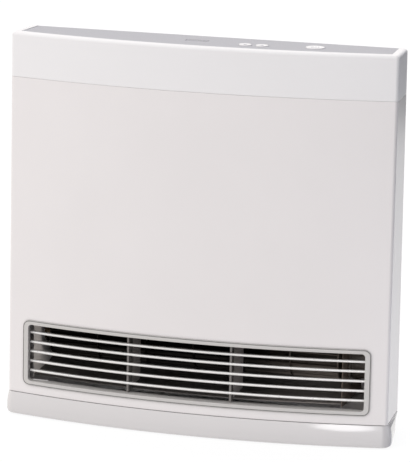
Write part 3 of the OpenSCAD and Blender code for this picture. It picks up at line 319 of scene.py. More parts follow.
def bevelEdges(bm, edges, width, steps):
    bmesh.ops.bevel(bm, geom=edges, offset=width, offset_type="OFFSET", segments=steps, profile=0.5,
                    affect="EDGES", clamp_overlap=True, material=-1)


def closeEnds(bm, loop, swept):  # cap both ends of an open sweep
    bmesh.ops.contextual_create(bm, geom=loop)
    bmesh.ops.contextual_create(bm, geom=only(swept["geom_last"], bmesh.types.BMEdge))


def spinProfile(bm, outline, centre, axis, segments=48):
    # outline is [(distance from the axis, distance along it)], from axis to axis
    axis = Vector(axis)
    side = axis.orthogonal().normalized()
    verts = [bm.verts.new(Vector(centre) + side * r + axis * h) for r, h in outline]
    edges = [bm.edges.new(pair) for pair in zip(verts, verts[1:])]
    bmesh.ops.spin(bm, geom=verts + edges, cent=centre, axis=axis, angle=2 * math.pi,
                   steps=segments, use_merge=True)
    bmesh.ops.remove_doubles(bm, verts=bm.verts, dist=1e-7)


def addBox(bm, low, high, bevel=0.0, steps=2):
    low, high = Vector(low), Vector(high)
    shape = Matrix.Translation((low + high) / 2) @ Matrix.Diagonal((*(high - low), 1))
    made = bmesh.ops.create_cube(bm, size=1.0, matrix=shape)["verts"]
    if bevel:
        bevelEdges(bm, edgesOf(made), bevel, steps)


# the cabinet's shells follow the solids, with their edges rounded
cabinet = {"width": 0.443, "bow": 0.0273, "frontY": -0.068, "sideDepth": 0.0555, "sideTaper": 0.0035,
           "cornerRadius": 0.008, "tightRadius": 0.0042, "wallLimit": 0.0041, "turnSlack": 0.002,
           "level": 2e-5, "inside": 0.03, "edgeSteps": 4, "seamRounding": 0.0003, "seamLift": 0.0003,
           "coverFoot": 0.3895, "coverRounding": 0.0003, "coverEdge": 0.0003,
           "copies": [("fasciaPlate", "control_fascia", "grey_plastic", 0.0003),
                      ("lensPlate", "display_lens", "smoked_lens", 0.0003),
                      ("baseShell", "base_stand", "base_plastic", 0.0004),
                      ("casingSheet", "rear_casing", "white_paint", 0.0002),
                      ("guideRails", "filter_guides", "grey_plastic", 0.0002),
                      ("bracketPlate", "wall_bracket", "galvanised", 0.0003),
                      ("footPads", "base_feet", "rubber", 0.0006)]}
bowRadius = (cabinet["width"] ** 2 / 4 + cabinet["bow"] ** 2) / (2 * cabinet["bow"])
bowY = cabinet["frontY"] + bowRadius
sideAlong = Vector((-cabinet["sideTaper"], cabinet["sideDepth"])).normalized()
sideOut = Vector((sideAlong.y, -sideAlong.x))


def cornerCentre(radius):  # centre of the right-hand corner's rounding, seen from above
    corner = Vector((cabinet["width"] / 2, cabinet["frontY"] + cabinet["bow"])) - sideOut * radius
    fromBow = corner - Vector((0, bowY))
    back = fromBow.dot(sideAlong)
    return corner + sideAlong * (-back - math.sqrt(back ** 2 - fromBow.length_squared
                                                   + (bowRadius - radius) ** 2))


def tightenCorners(bm):  # the steel is folded tighter than its construction shows
    old, new = cornerCentre(cabinet["cornerRadius"]), cornerCentre(cabinet["tightRadius"])
    shrink = cabinet["cornerRadius"] - cabinet["tightRadius"]
    wall = cabinet["cornerRadius"] - cabinet["wallLimit"]
    last = math.atan2(sideOut.y, sideOut.x)
    first, newFirst = (math.atan2(c.y - bowY, c.x) for c in (old, new))
    for v in bm.verts:
        arm = Vector((abs(v.co.x), v.co.y)) - old
        angle = math.atan2(arm.y, arm.x)
        if first - cabinet["turnSlack"] < angle < last + cabinet["turnSlack"] and arm.length > wall:
            angle = newFirst + (angle - first) * (last - newFirst) / (last - first)
            spot = new + Vector((math.cos(angle), math.sin(angle))) * (arm.length - shrink)
            v.co.x, v.co.y = math.copysign(spot.x, v.co.x), spot.y


def isLevel(v, level):
    return abs(v.co.z - level) < cabinet["level"]


def roundOuterEdge(bm, level, width):  # round the outside edge that lies at one height
    inside = Vector((0, cabinet["inside"], level))
    edges = []
    for edge in bm.edges:
        if all(isLevel(v, level) for v in edge.verts) and len(edge.link_faces) == 2:
            walls = [f for f in edge.link_faces if abs(f.normal.z) < 0.5]
            middle = (edge.verts[0].co + edge.verts[1].co) / 2
            if len(walls) == 1 and walls[0].normal.dot(middle - inside) > 0:
                edges.append(edge)
    bevelEdges(bm, edges, width, cabinet["edgeSteps"])


def makeShell(name, nodeName, finish, level, width, lift=0.0):
    bm = mergedCopy(nodeName)
    tightenCorners(bm)
    for v in bm.verts:  # a closer seam than the construction's play
        if isLevel(v, level):
            v.co.z += lift
    roundOuterEdge(bm, level + lift, width)
    softPiece(name, bm, nodeName, finish, cabinet["coverEdge"])


panelTop = max(v.co.z for v in nodes["front_panel"].data.vertices)
makeShell("panelSheet", "front_panel", "panelPaint", panelTop, cabinet["seamRounding"],
          cabinet["seamLift"])
makeShell("coverShell", "top_cover", "white_plastic", cabinet["coverFoot"], cabinet["coverRounding"])
for row in cabinet["copies"]:
    softCopy(*row)
print("cabinet dressed")

# the bowed louvre, and the duct seen through it
louvre = {"blades": 5, "depth": 0.012, "thickness": 0.0030, "tail": 0.667, "tilt": 8.0, "inset": 0.0036,
          "mouthWidth": 0.3918, "mouthLow": 0.0422, "mouthHeight": 0.0654, "spareRows": 0.9,
          "firstRow": 0.95, "gap": 0.0003, "sectionPoints": 20, "sweepSteps": 48, "frameEdge": 0.00018,
          "rim": 0.0006, "groove": 0.0006, "grooveDepth": 0.0005, "grooveBand": 0.0025,
          "faceDepth": 0.0008, "facing": 0.9}
duct = {"edge": 0.0001, "stayEdge": 0.0002,
        "sheets": [("ductWallLeft", "duct_end_left", "wallZinc"),
                   ("ductWallRight", "duct_end_right", "shadeZinc"),
                   ("scrollSheet", "fan_scroll", "floorZinc"),
                   ("guideSheet", "air_guide", "shadeZinc"),
                   ("steerVanes", "duct_vanes", "vaneZinc")]}


def makeBlades():
    bm = bmesh.new()
    depth, thick = louvre["depth"], louvre["thickness"]
    pitch = louvre["mouthHeight"] / (louvre["blades"] + louvre["spareRows"])
    halfAngle = math.asin((louvre["mouthWidth"] / 2 - louvre["gap"]) / bowRadius)
    middle = bowRadius - louvre["inset"] - depth / 2
    tilt = Matrix.Rotation(math.radians(louvre["tilt"]), 3, "Z")
    for i in range(louvre["blades"]):
        level = louvre["mouthLow"] + pitch * (i + louvre["firstRow"])
        ring = bmesh.ops.create_circle(bm, segments=louvre["sectionPoints"], radius=thick / 2)["verts"]
        for v in ring:  # stretch the circle into a nosed blade with a thinner tail
            if v.co.x < -1e-7:
                v.co.x -= depth - thick
                v.co.y *= louvre["tail"]
            v.co.x += (depth - thick) / 2
        bmesh.ops.rotate(bm, verts=ring, matrix=tilt)
        for v in ring:
            v.co = (0, bowY - middle - v.co.x, level + v.co.y)
        bmesh.ops.rotate(bm, verts=ring, cent=(0, bowY, 0), matrix=Matrix.Rotation(-halfAngle, 3, "Z"))
        loop = edgesOf(ring)
        swept = bmesh.ops.spin(bm, geom=ring + loop, cent=(0, bowY, 0), axis=(0, 0, 1),
                               angle=2 * halfAngle, steps=louvre["sweepSteps"])
        closeEnds(bm, loop, swept)
    makePiece("louvreBlades", bm, "blade_metal", ["louvre_blades"])


def makeBezel():  # the frame's face, with the fine groove inside its outer edge
    bm = mergedCopy("louvre_frame")
    bm.normal_update()
    low, high = boxOf([v.co for v in bm.verts])
    middle, half = (low + high) / 2, (high - low) / 2
    reach = bowRadius + louvre["faceDepth"]

    def inFront(f):
        spot = f.calc_center_median()
        return f.normal.y < -louvre["facing"] and spot.y < bowY - math.sqrt(reach ** 2 - spot.x ** 2)

    def outer(f):
        away = f.calc_center_median() - middle
        return (abs(away.x) > half.x - louvre["grooveBand"]
                or abs(away.z) > half.z - louvre["grooveBand"])

    face = [f for f in bm.faces if inFront(f)]
    for width in (louvre["rim"], louvre["groove"]):
        ring = bmesh.ops.inset_region(bm, faces=face, thickness=width, use_boundary=True,
                                      use_even_offset=True)["faces"]
    sunk = bmesh.ops.extrude_face_region(bm, geom=[f for f in ring if outer(f)])["geom"]
    bmesh.ops.translate(bm, verts=only(sunk, bmesh.types.BMVert), vec=(0, louvre["grooveDepth"], 0))
    softPiece("louvreBezel", bm, "louvre_frame", "bezelSatin", louvre["frameEdge"])


makeBlades()
for name, nodeName, finish in duct["sheets"]:
    softCopy(name, nodeName, finish, duct["edge"], steps=1)
softCopy("stayCombs", "louvre_stays", "stayShade", duct["stayEdge"])
makeBezel()
print("louvre dressed")

# the three buttons, each with a dished cap and a raised mark
caps = {"faceZ": 440.5 * mm, "footZ": 435.8 * mm, "stemZ": 428.2 * mm, "footLap": 1.5 * mm,
        "footHigh": 1.0 * mm, "stemRadius": 1.7 * mm, "stemEdge": 0.3 * mm, "dish": 0.5 * mm,
        "dishSteps": 10, "edge": 0.55 * mm, "edgeSteps": 4, "segments": 96,
        "keys": [("powerCap", "power_button", "power_key", (122.5 * mm, -20 * mm), 10.5 * mm, "ring"),
                 ("coolerCap", "cooler_button", "cooler_key", (46 * mm, -31 * mm), 7 * mm, "down"),
                 ("warmerCap", "warmer_button", "warmer_key", (65 * mm, -30 * mm), 7 * mm, "up")]}
marks = {"high": 0.09 * mm, "sunk": 0.02 * mm, "size": 0.42, "ringInner": 0.86, "ringGap": 32,
         "ringPoints": 40, "bar": [(-0.07, 0.35), (0.07, 0.35), (0.07, 1.15), (-0.07, 1.15)],
         "triangle": [(-0.9, -0.6), (0.9, -0.6), (0, 0.9)], "cuts": 3}


def dishAt(reach, radius):  # height of the cap's dished face at a distance from its middle
    return caps["faceZ"] - caps["dish"] * (1 - (reach / radius) ** 2)


def makeCap(name, nodeName, body, centre, radius, mark):
    foot, wide, stem = caps["footZ"], radius + caps["footLap"], caps["stemRadius"]
    edge, lip = caps["edge"], radius - caps["edge"]
    reaches = [radius * k / caps["dishSteps"] for k in range(caps["dishSteps"] - 1)] + [lip]
    outline = [(reach, dishAt(reach, radius)) for reach in reaches]
    for k in range(1, caps["edgeSteps"] + 1):
        turn = math.radians(90 * k / caps["edgeSteps"])
        outline.append((lip + edge * math.sin(turn), dishAt(lip, radius) - edge * (1 - math.cos(turn))))
    outline += [(radius, foot + caps["footHigh"]), (wide, foot + caps["footHigh"]), (wide, foot),
                (stem, foot), (stem, caps["stemZ"] + caps["stemEdge"]),
                (stem - caps["stemEdge"], caps["stemZ"]), (0, caps["stemZ"])]
    bm = bmesh.new()
    spinProfile(bm, outline, (*centre, 0), (0, 0, 1), caps["segments"])
    makePiece(name, bm, "white_plastic", [nodeName], body)
    makeMark(name + "Mark", body, centre, radius, mark)


def makeMark(name, body, centre, radius, mark):
    bm = bmesh.new()
    size = radius * marks["size"]
    if mark == "ring":  # an open ring with a bar through its gap
        gap, last = marks["ringGap"], marks["ringPoints"] - 1
        for k in range(marks["ringPoints"]):
            turn = math.radians(90 + gap + (360 - 2 * gap) * k / last)
            spot = Vector((math.cos(turn), math.sin(turn), 0)) * size
            for reach in (marks["ringInner"], 1.0):
                bm.verts.new(spot * reach)
        bm.verts.ensure_lookup_table()
        for k in range(last):
            bm.faces.new([bm.verts[2 * k + j] for j in (0, 2, 3, 1)])
        bm.faces.new([bm.verts.new((x * size, y * size, 0)) for x, y in marks["bar"]])
    else:
        sign = 1 if mark == "up" else -1
        bm.faces.new([bm.verts.new((x * size, y * size * sign, 0)) for x, y in marks["triangle"]])
        bmesh.ops.subdivide_edges(bm, edges=bm.edges, cuts=marks["cuts"], use_grid_fill=True)
    bmesh.ops.recalc_face_normals(bm, faces=bm.faces)
    raised = bmesh.ops.extrude_face_region(bm, geom=bm.faces[:])["geom"]
    for v in only(raised, bmesh.types.BMVert):
        v.co.z = marks["high"]
    for v in bm.verts:
        v.co.z += dishAt(v.co.xy.length, radius) - marks["sunk"]
        v.co.x += centre[0]
        v.co.y += centre[1]
    makePiece(name, bm, "markInk", body=body)


for key in caps["keys"]:
    makeCap(*key)
print("buttons made")

# pan-head screws with a cross recess; the axis is the way the head faces
screws = {"shank": 1.9 * mm, "headHigh": 1.6 * mm, "slotHalf": 0.42 * mm, "slotDeep": 0.95 * mm,
          "slotReach": 0.58, "slotRise": 0.6, "slotFrom": 0.5, "pitch": 1.2 * mm,
          "threadDeep": 0.32 * mm, "tipInset": 0.5 * mm, "tipHigh": 0.05 * mm, "lead": 0.2 * mm,
          "runOut": 0.3 * mm, "neck": 0.05 * mm, "rimHigh": 0.35, "segments": 40, "crease": 28,
          "crown": (0.97, 0.9, 0.8, 0.7, 0.6, 0.52, 0.44, 0.36, 0.28, 0.2, 0.13, 0.06),
          "sets": [("casingScrews", "casing_screws", (0, 1, 0)),
                   ("baseScrews", "base_screws", (0, 0, 1)),
                   ("boardScrews", "board_screws", (1, 0, 0))]}


def islandBoxes(nodeName):  # the box round each loose part of a node
    bm = mergedCopy(nodeName)
    left, found = set(bm.verts), []
    while left:
        reach, island = [left.pop()], []
        while reach:
            v = reach.pop()
            island.append(v.co.copy())
            for other in (e.other_vert(v) for e in v.link_edges):
                if other in left:
                    left.remove(other)
                    reach.append(other)
        found.append(boxOf(island))
    bm.free()
    return sorted(found, key=lambda ends: tuple(ends[0]))


def screwOutline(length, head):  # from the tip, along the thread, to the crown of the head
    shank, rise, root = screws["shank"], screws["headHigh"], screws["shank"] - screws["threadDeep"]
    tip = rise - length
    outline = [(0, tip), (shank - screws["tipInset"], tip + screws["tipHigh"])]
    for turn in range(max(1, int((-tip - screws["runOut"]) / screws["pitch"]))):
        base = tip + screws["lead"] + turn * screws["pitch"]
        outline += [(root, base), (shank, base + screws["pitch"] / 2)]
    rim = screws["rimHigh"]
    outline += [(root, -screws["neck"]), (head, 0), (head, rim * rise)]
    outline += [(head * r, rise * (rim + (1 - rim) * math.sqrt(1 - r ** 2))) for r in screws["crown"]]
    return outline + [(0, rise)]


def makeScrews(name, nodeName, axis):
    axis = Vector(axis)
    k = max(range(3), key=lambda i: abs(axis[i]))
    across = axis.orthogonal().normalized()
    upright = axis.cross(across)
    bm = bmesh.new()
    for low, high in islandBoxes(nodeName):
        head = (high - low)[(k + 1) % 3] / 2
        seat = (low + high) / 2
        seat[k] = (high if axis[k] > 0 else low)[k] - axis[k] * screws["headHigh"]
        before = set(bm.verts)
        spinProfile(bm, screwOutline(high[k] - low[k], head), seat, axis, screws["segments"])
        for v in [v for v in bm.verts if v not in before]:  # press the cross into the crown
            arm = v.co - seat
            a, b = sorted((abs(arm.dot(across)), abs(arm.dot(upright))))
            if (arm.dot(axis) > screws["slotFrom"] * screws["headHigh"]
                    and b < screws["slotReach"] * head and a < screws["slotHalf"]):
                v.co -= axis * screws["slotDeep"] * (1 - screws["slotRise"] * b / head)
    makePiece(name, bm, "bright_steel", [nodeName], crease=screws["crease"])


for row in screws["sets"]:
    makeScrews(*row)
print("screws made")

# the air filters' frames, with woven mesh moulded into their ribs
net = {"pitch": 2.6 * mm, "strand": 0.16 * mm, "y": 60.8 * mm, "low": 160 * mm, "high": 356 * mm,
       "inner": 36 * mm, "outer": 168 * mm, "frameEdge": 0.0004,
       "sides": [("leftNet", "filter_left", "left_filter", -1),
                 ("rightNet", "filter_right", "right_filter", 1)]}


def makeNet(name, nodeName, body, sign):
    softCopy(name + "Frame", nodeName, "filter_plastic", net["frameEdge"], body)
    bm = bmesh.new()
    x0, x1 = sorted((sign * net["inner"], sign * net["outer"]))
    half, y = net["strand"], net["y"]
    for k in range(1, int((x1 - x0) / net["pitch"])):
        x = x0 + k * net["pitch"]
        addBox(bm, (x - half, y - half, net["low"]), (x + half, y + half, net["high"]))
    for k in range(1, int((net["high"] - net["low"]) / net["pitch"])):
        z = net["low"] + k * net["pitch"]
        addBox(bm, (x0, y - half, z - half), (x1, y + half, z + half))
    makePiece(name, bm, "netNylon", body=body, recalc=False)


for row in net["sides"]:
    makeNet(*row)
print("filters made")

# the gas inlet's threaded nipple
inlet = {"y": 38 * mm, "z": 148 * mm, "start": -213 * mm, "stop": -199.2 * mm, "shoulder": -198.5 * mm,
         "major": 10.5 * mm, "minor": 9.5 * mm, "outside": 0.97, "pitch": 1.81 * mm, "flank": 0.44,
         "crest": 0.12 * mm, "rootLap": 0.1 * mm, "segments": 40, "edge": 0.35 * mm}


def makeInlet():
    bm = mergedCopy("gas_inlet")
    for v in bm.verts:  # turn the thread's outside down to its root
        arm = Vector((v.co.y - inlet["y"], v.co.z - inlet["z"]))
        if v.co.x < inlet["shoulder"] and arm.length > inlet["outside"] * inlet["major"]:
            arm = arm.normalized() * inlet["minor"]
            v.co.y, v.co.z = inlet["y"] + arm.x, inlet["z"] + arm.y
    softPiece("inletBody", bm, "gas_inlet", "brass", inlet["edge"])
    bm = bmesh.new()
    half, root = inlet["pitch"] * inlet["flank"], inlet["minor"] - inlet["rootLap"]
    turns = (inlet["stop"] - inlet["start"] - 2 * half) / inlet["pitch"]
    ring = [bm.verts.new((inlet["start"] + half + a, inlet["y"] + r, inlet["z"]))
            for a, r in ((-half, root), (-inlet["crest"], inlet["major"]),
                         (inlet["crest"], inlet["major"]), (half, root))]
    loop = [bm.edges.new((ring[k], ring[(k + 1) % 4])) for k in range(4)]
    steps = int(turns * inlet["segments"])
    swept = bmesh.ops.spin(bm, geom=ring + loop, cent=(0, inlet["y"], inlet["z"]), axis=(1, 0, 0),
                           angle=2 * math.pi * turns, steps=steps,
                           dvec=(inlet["pitch"] * turns / steps, 0, 0))
    closeEnds(bm, loop, swept)
    makePiece("inletThread", bm, "brass")


def mmBox(bm, low, high, bevel=0.0, steps=2):
    addBox(bm, [c * mm for c in low], [c * mm for c in high], bevel * mm, steps)


def mmSpin(bm, outline, centre, axis, segments=32):
    spinProfile(bm, [(r * mm, h * mm) for r, h in outline], [c * mm for c in centre], axis, segments)


# the gland that a mains cord leaves by, in millimetres as the boards and coils below are
gland = {"place": (183, 0, 52), "segments": 64,
         "outline": [(3.5, 48), (6.6, 48), (7, 48.4), (7, 57.6), (8.1, 58), (8.5, 58.4), (8.5, 59.6),
                     (8.1, 60), (7, 60), (7, 60.5), (6.6, 60.9), (6.9, 61.3), (6.4, 61.7), (6.6, 62.1),
                     (5.9, 62.8), (4.4, 63), (3.5, 62.4), (3.5, 48)]}


def makeGland():
    bm = bmesh.new()
    mmSpin(bm, gland["outline"], gland["place"], (0, 1, 0), gland["segments"])
    makePiece("cordGland", bm, "black_plastic", ["cord_gland"])


makeInlet()
makeGland()
print("inlet and gland made")


def withNew(bm, index, build):  # build something, all of it in the piece's finish of that number
    before = set(bm.faces)
    build()
    for face in bm.faces:
        if face not in before:
            face.material_index = index


def makeAssembly(name, nodeName, bm, base, groups):  # groups are (finish, what builds its faces)
    for index, (finish, build) in enumerate(groups, 1):
        withNew(bm, index, build)
    makePiece(name, bm, [base] + [finish for finish, build in groups], [nodeName])


# the control board, with what stands on its face at y, z
board = {"seed": 7, "back": 181.8, "face": 183.4, "y": (-34, 8), "z": (214, 312), "edge": 0.15,
         "relays": [(-24, 229), (-24, 249)], "relay": (12, 12, 16), "relayEdge": 0.6,
         "chip": (-22, 273), "chipLow": 0.4, "chipInset": 2, "chipBody": (1.6, 10, 10),
         "smallChips": [(-30, 262), (-14, 262), (-30, 297)], "smallLow": 0.1, "small": (1.3, 4, 5),
         "smallEdge": 0.1,
         "dots": 16, "dotY": (-31, -10), "dotZ": (255, 300), "dot": (0.55, 1.6, 0.9),
         "clearY": (-24, -7), "clearZ": (268, 290),
         "pins": 10, "pinFrom": 2.6, "pinPitch": 0.95, "pinFar": 12, "pinLow": 0.02,
         "pinAcross": (0.48, 0.4, 2), "pinAlong": (0.48, 2, 0.4),
         "joints": 60, "jointY": (-31, 5), "jointZ": (218, 308), "joint": 1.1, "jointHigh": 0.5,
         "terminals": (-4, 233), "terminal": (8, 8, 40), "plugAt": (-32, 224), "plug": (7, 5, 26),
         "plainEdge": 0.3, "clamps": 8, "clampIn": (4, 2.5), "clampPitch": 5, "clampHigh": 7.4,
         "clamp": [(0, 0), (1.6, 0), (1.6, 0.5), (0.5, 0.58), (0, 0.3)], "clampSegments": 20,
         "canAt": (-4, 291), "can": [(0, 0), (5.6, 0), (6, 0.4), (6, 1.6), (5.6, 2.1), (6, 2.6),
                                     (6, 13.3), (5.5, 13.9), (4.8, 13.6), (0, 13.6)],
         "canSegments": 40}


def makeControlBoard():
    rng = random.Random(board["seed"])
    bm = bmesh.new()
    face, back = board["face"], board["back"]

    def onBoard(y, z, size, low=0.0, edge=0.0):
        mmBox(bm, (face + low, y, z), (face + low + size[0], y + size[1], z + size[2]), edge)

    def relays():
        for y, z in board["relays"]:
            onBoard(y, z, board["relay"], 0.0, board["relayEdge"])

    def chips():
        (y, z), inset = board["chip"], board["chipInset"]
        onBoard(y + inset, z + inset, board["chipBody"], board["chipLow"], board["edge"])
        for y, z in board["smallChips"]:
            onBoard(y, z, board["small"], board["smallLow"], board["smallEdge"])
        for k in range(board["dots"]):
            y, z = rng.uniform(*board["dotY"]), rng.uniform(*board["dotZ"])
            if not (board["clearY"][0] < y < board["clearY"][1]
                    and board["clearZ"][0] < z < board["clearZ"][1]):
                onBoard(y, z, board["dot"])

    def pins():
        (y, z), far = board["chip"], board["pinFar"]
        for k in range(board["pins"]):
            at = board["pinFrom"] + k * board["pinPitch"]
            for edge in (0, far):
                onBoard(y + at, z + edge, board["pinAcross"], board["pinLow"])
            for edge in (0, far):
                onBoard(y + edge, z + at, board["pinAlong"], board["pinLow"])
        side = board["joint"]
        for k in range(board["joints"]):  # soldered joints on the back
            y, z = rng.uniform(*board["jointY"]), rng.uniform(*board["jointZ"])
            mmBox(bm, (back - board["jointHigh"], y, z), (back, y + side, z + side), board["plainEdge"])

    def plugs():
        onBoard(*board["terminals"], board["terminal"], 0.0, board["plainEdge"])
        onBoard(*board["plugAt"], board["plug"], 0.0, board["plainEdge"])

    def clamps():
        y, z = (a + b for a, b in zip(board["terminals"], board["clampIn"]))
        for k in range(board["clamps"]):
            spot = (face + board["clampHigh"], y, z + board["clampPitch"] * k)
            mmSpin(bm, board["clamp"], spot, (1, 0, 0), board["clampSegments"])

    def can():
        mmSpin(bm, board["can"], (face, *board["canAt"]), (1, 0, 0), board["canSegments"])

    mmBox(bm, (back, board["y"][0], board["z"][0]), (face, board["y"][1], board["z"][1]), board["edge"])
    makeAssembly("boardAssembly", "control_board", bm, "circuit_board",
                 [("relayShell", relays), ("chipShell", chips), ("solder", pins), ("plugShell", plugs),
                  ("solder", clamps), ("chipShell", can)])


# the board under the fascia: its key switches, lamp block, chips and plug
display = {"seed": 11, "low": (-37, -44, 425.1), "high": (145, -1.5, 426.7), "edge": 0.15,
           "switches": [(122.5, -20), (46, -31), (65, -30)],
           "switch": [(2, 0), (4.08, 0), (4.08, 3.6), (3.6, 4.1), (2.7, 4.5), (2, 4.5), (2, 0)],
           "lampLow": (-23, -23.5), "lampHigh": (-1, -16.5), "lampTop": 434.9, "plainEdge": 0.3,
           "chips": [(18, -14), (92, -34)], "chip": (7, 5), "chipRise": (0.3, 1.5),
           "legs": 7, "leg": (0.3, 0.7), "legOut": 1, "legRise": (0.02, 0.4),
           "dots": 26, "dotX": (5, 110), "dotY": (-41, -6), "dot": (1.7, 0.9, 0.6), "clear": 9,
           "keep": [(46, -31), (65, -30), (21, -12), (95, -32)],
           "plugLow": (-35, -32), "plugHigh": (-29, -14), "plugRise": 6}


def makeDisplayBoard():
    rng = random.Random(display["seed"])
    bm = bmesh.new()
    top = display["high"][2]

    def onBoard(low, high, rise, edge=0.0):  # rise is where it starts and ends above the board
        mmBox(bm, (*low, top + rise[0]), (*high, top + rise[1]), edge)

    def switches():
        for x, y in display["switches"]:
            mmSpin(bm, display["switch"], (x, y, top), (0, 0, 1))
        mmBox(bm, (*display["lampLow"], top), (*display["lampHigh"], display["lampTop"]),
              display["plainEdge"])
        for x, y in display["chips"]:
            far = (x + display["chip"][0], y + display["chip"][1])
            onBoard((x, y), far, display["chipRise"], display["edge"])

    def joints():
        first, last = display["leg"]
        for x, y in display["chips"]:
            front, rear = y - display["legOut"], y + display["chip"][1] + display["legOut"]
            for k in range(display["legs"]):
                onBoard((x + first + k, front), (x + last + k, rear), display["legRise"])
        wide, deep, high = display["dot"]
        for k in range(display["dots"]):
            x, y = rng.uniform(*display["dotX"]), rng.uniform(*display["dotY"])
            if all(abs(x - a) > display["clear"] or abs(y - b) > display["clear"]
                   for a, b in display["keep"]):
                onBoard((x, y), (x + wide, y + deep), (0, high))

    def plug():
        onBoard(display["plugLow"], display["plugHigh"], (0, display["plugRise"]), display["plainEdge"])

    mmBox(bm, display["low"], display["high"], display["edge"])
    makeAssembly("displayAssembly", "display_board", bm, "circuit_board",
                 [("chipShell", switches), ("solder", joints), ("plugShell", plug)])


# the transformer: taped coil, stacked core, bobbin ends and lugs
winding = {"coil": ((178.1, -17.6, 137), (203.1, 1, 161)), "coilEdge": 2.4, "coilSteps": 3,
           "core": ((174.1, 0.2, 132), (207.1, 12, 166)), "coreEdge": 0.5,
           "flangeZ": (136, 160.6), "flangeLow": (178.1, -18), "flangeHigh": (203.1, 0.2),
           "flangeThick": 1.4, "flangeEdge": 0.3, "lugs": 5, "lugX": (181, 182.4), "lugPitch": 4.4,
           "lugY": (-17.9, -17), "lugZ": (158, 161.8), "lugEdge": 0.1}


def makeTransformer():
    bm = bmesh.new()

    def core():
        mmBox(bm, *winding["core"], winding["coreEdge"])

    def bobbin():
        for z in winding["flangeZ"]:
            mmBox(bm, (*winding["flangeLow"], z), (*winding["flangeHigh"], z + winding["flangeThick"]),
                  winding["flangeEdge"])

    def lugs():
        for k in range(winding["lugs"]):
            low, high = ([winding["lugX"][i] + winding["lugPitch"] * k, winding["lugY"][i],
                          winding["lugZ"][i]] for i in range(2))
            mmBox(bm, low, high, winding["lugEdge"])

    mmBox(bm, *winding["coil"], winding["coilEdge"], winding["coilSteps"])
    makeAssembly("mainsTransformer", "transformer", bm, "coil_tape",
                 [("coreSheets", core), ("chipShell", bobbin), ("solder", lugs)])


electrode = {"z": 206, "back": [(1.25, -47), (3.3, -47), (3.85, -46.5)],
             "ribs": 8, "ribFrom": -46.2, "ribPitch": 0.9, "ribRadii": (3.3, 3.85),
             "front": [(5.1, -38), (5.5, -37.6), (5.5, -34.6), (5.1, -34.2), (3.85, -34.2),
                       (3.85, -25.5), (3.4, -25), (1.25, -25), (1.25, -47)],
             "wire": [(0, -52), (0.9, -52), (1.2, -51.7)], "wireRadius": 1.2, "point": 0.8,
             "segments": 40, "wireSegments": 20,
             "rods": [("sparkElectrode", "spark_electrode", -60, -8),
                      ("flameRod", "flame_rod", -40, 4)]}


def makeElectrode(name, nodeName, x, reach):  # ribbed ceramic sleeve on its wire
    bm = bmesh.new()
    place, axis = (x, 0, electrode["z"]), (0, 1, 0)
    ribs = [(electrode["ribRadii"][k % 2], electrode["ribFrom"] + electrode["ribPitch"] * k)
            for k in range(1, electrode["ribs"] + 1)]
    tip = [(electrode["wireRadius"], reach - electrode["point"]), (0, reach)]

    def wire():
        mmSpin(bm, electrode["wire"] + tip, place, axis, electrode["wireSegments"])

    mmSpin(bm, electrode["back"] + ribs + electrode["front"], place, axis, electrode["segments"])
    makeAssembly(name, nodeName, bm, "ceramic", [("bright_steel", wire)])


coils = {"places": [(-174.9, 2, 171), (-174.9, 22, 171)], "segments": 48, "stemSegments": 32,
         "spool": [(0, 0), (8.5, 0), (8.5, 1.2), (7.9, 1.4), (7.9, 16.6), (8.5, 16.8), (8.5, 18),
                   (4, 18)],
         "stem": [(4, 17.8), (4, 20.4), (3.4, 21), (1.2, 21), (0.9, 20.2), (0, 20.2)]}


def makeCoils():  # the gas valve's coils, each on its steel stem
    bm = bmesh.new()

    def stem():
        mmSpin(bm, coils["stem"], place, (0, 0, 1), coils["stemSegments"])

    for place in coils["places"]:
        mmSpin(bm, coils["spool"], place, (0, 0, 1), coils["segments"])
        withNew(bm, 1, stem)
    makePiece("valveCoils", bm, ["coil_tape", "bright_steel"], ["valve_coils"])


makeControlBoard()
makeDisplayBoard()
makeTransformer()
for row in electrode["rods"]:
    makeElectrode(*row)
makeCoils()

# solids whose shape is right, with the width of their rounded edges in millimetres
softened = {"fan_shaft": ("bright_steel", 0.3), "fan_bearing": ("bronze", 0.3),
            "fan_motor": ("motor_paint", 0.5), "combustion_chamber": ("aluminised", 0.3),
            "chamber_arms": ("galvanised", 0.2), "heat_baffle": ("aluminised", 0.3),
            "burner": ("burner_steel", 0.15), "burner_nozzle": ("brass", 0.4),
            "electrode_plate": ("galvanised", 0.2), "gas_valve": ("cast_alloy", 1.0),
            "board_tray": ("galvanised", 0.2), "igniter_module": ("black_plastic", 1.0),
            "overheat_switch": ("bright_steel", 0.5), "tilt_switch": ("black_plastic", 0.6),
            "room_sensor": ("white_plastic", 0.5), "wall_spacers": ("rubber", 0.8)}
for nodeName, (finish, width) in softened.items():
    softCopy(nodeName.replace("_", "") + "Soft", nodeName, finish, width * mm)
print("electrics and gas parts made")

# the photograph's view
view = {"lens": 251.38, "sensor": 36.0, "clipEnd": 60.0, "azimuth": 15.94, "elevation": 11.8,
        "roll": 1.22, "target": (0.01172, -0.0549, 0.23324), "distance": 3.562}


def addCamera():
    azimuth, elevation, roll = (math.radians(view[key]) for key in ("azimuth", "elevation", "roll"))
    back = Vector((math.sin(azimuth) * math.cos(elevation), -math.cos(azimuth) * math.cos(elevation),
                   math.sin(elevation)))
    level = (-back).cross(Vector((0, 0, 1))).normalized()
    rise = level.cross(-back)
    right = level * math.cos(roll) + rise * math.sin(roll)
    up = rise * math.cos(roll) - level * math.sin(roll)
    data = bpy.data.cameras.new("photoCamera")
    data.lens = view["lens"]
    data.sensor_width = view["sensor"]
    data.clip_end = view["clipEnd"]
    camera = show(bpy.data.objects.new("photoCamera", data))
    turn = Matrix((right, up, back)).transposed().to_4x4()
    camera.matrix_world = Matrix.Translation(Vector(view["target"]) + back * view["distance"]) @ turn
    bpy.context.scene.camera = camera


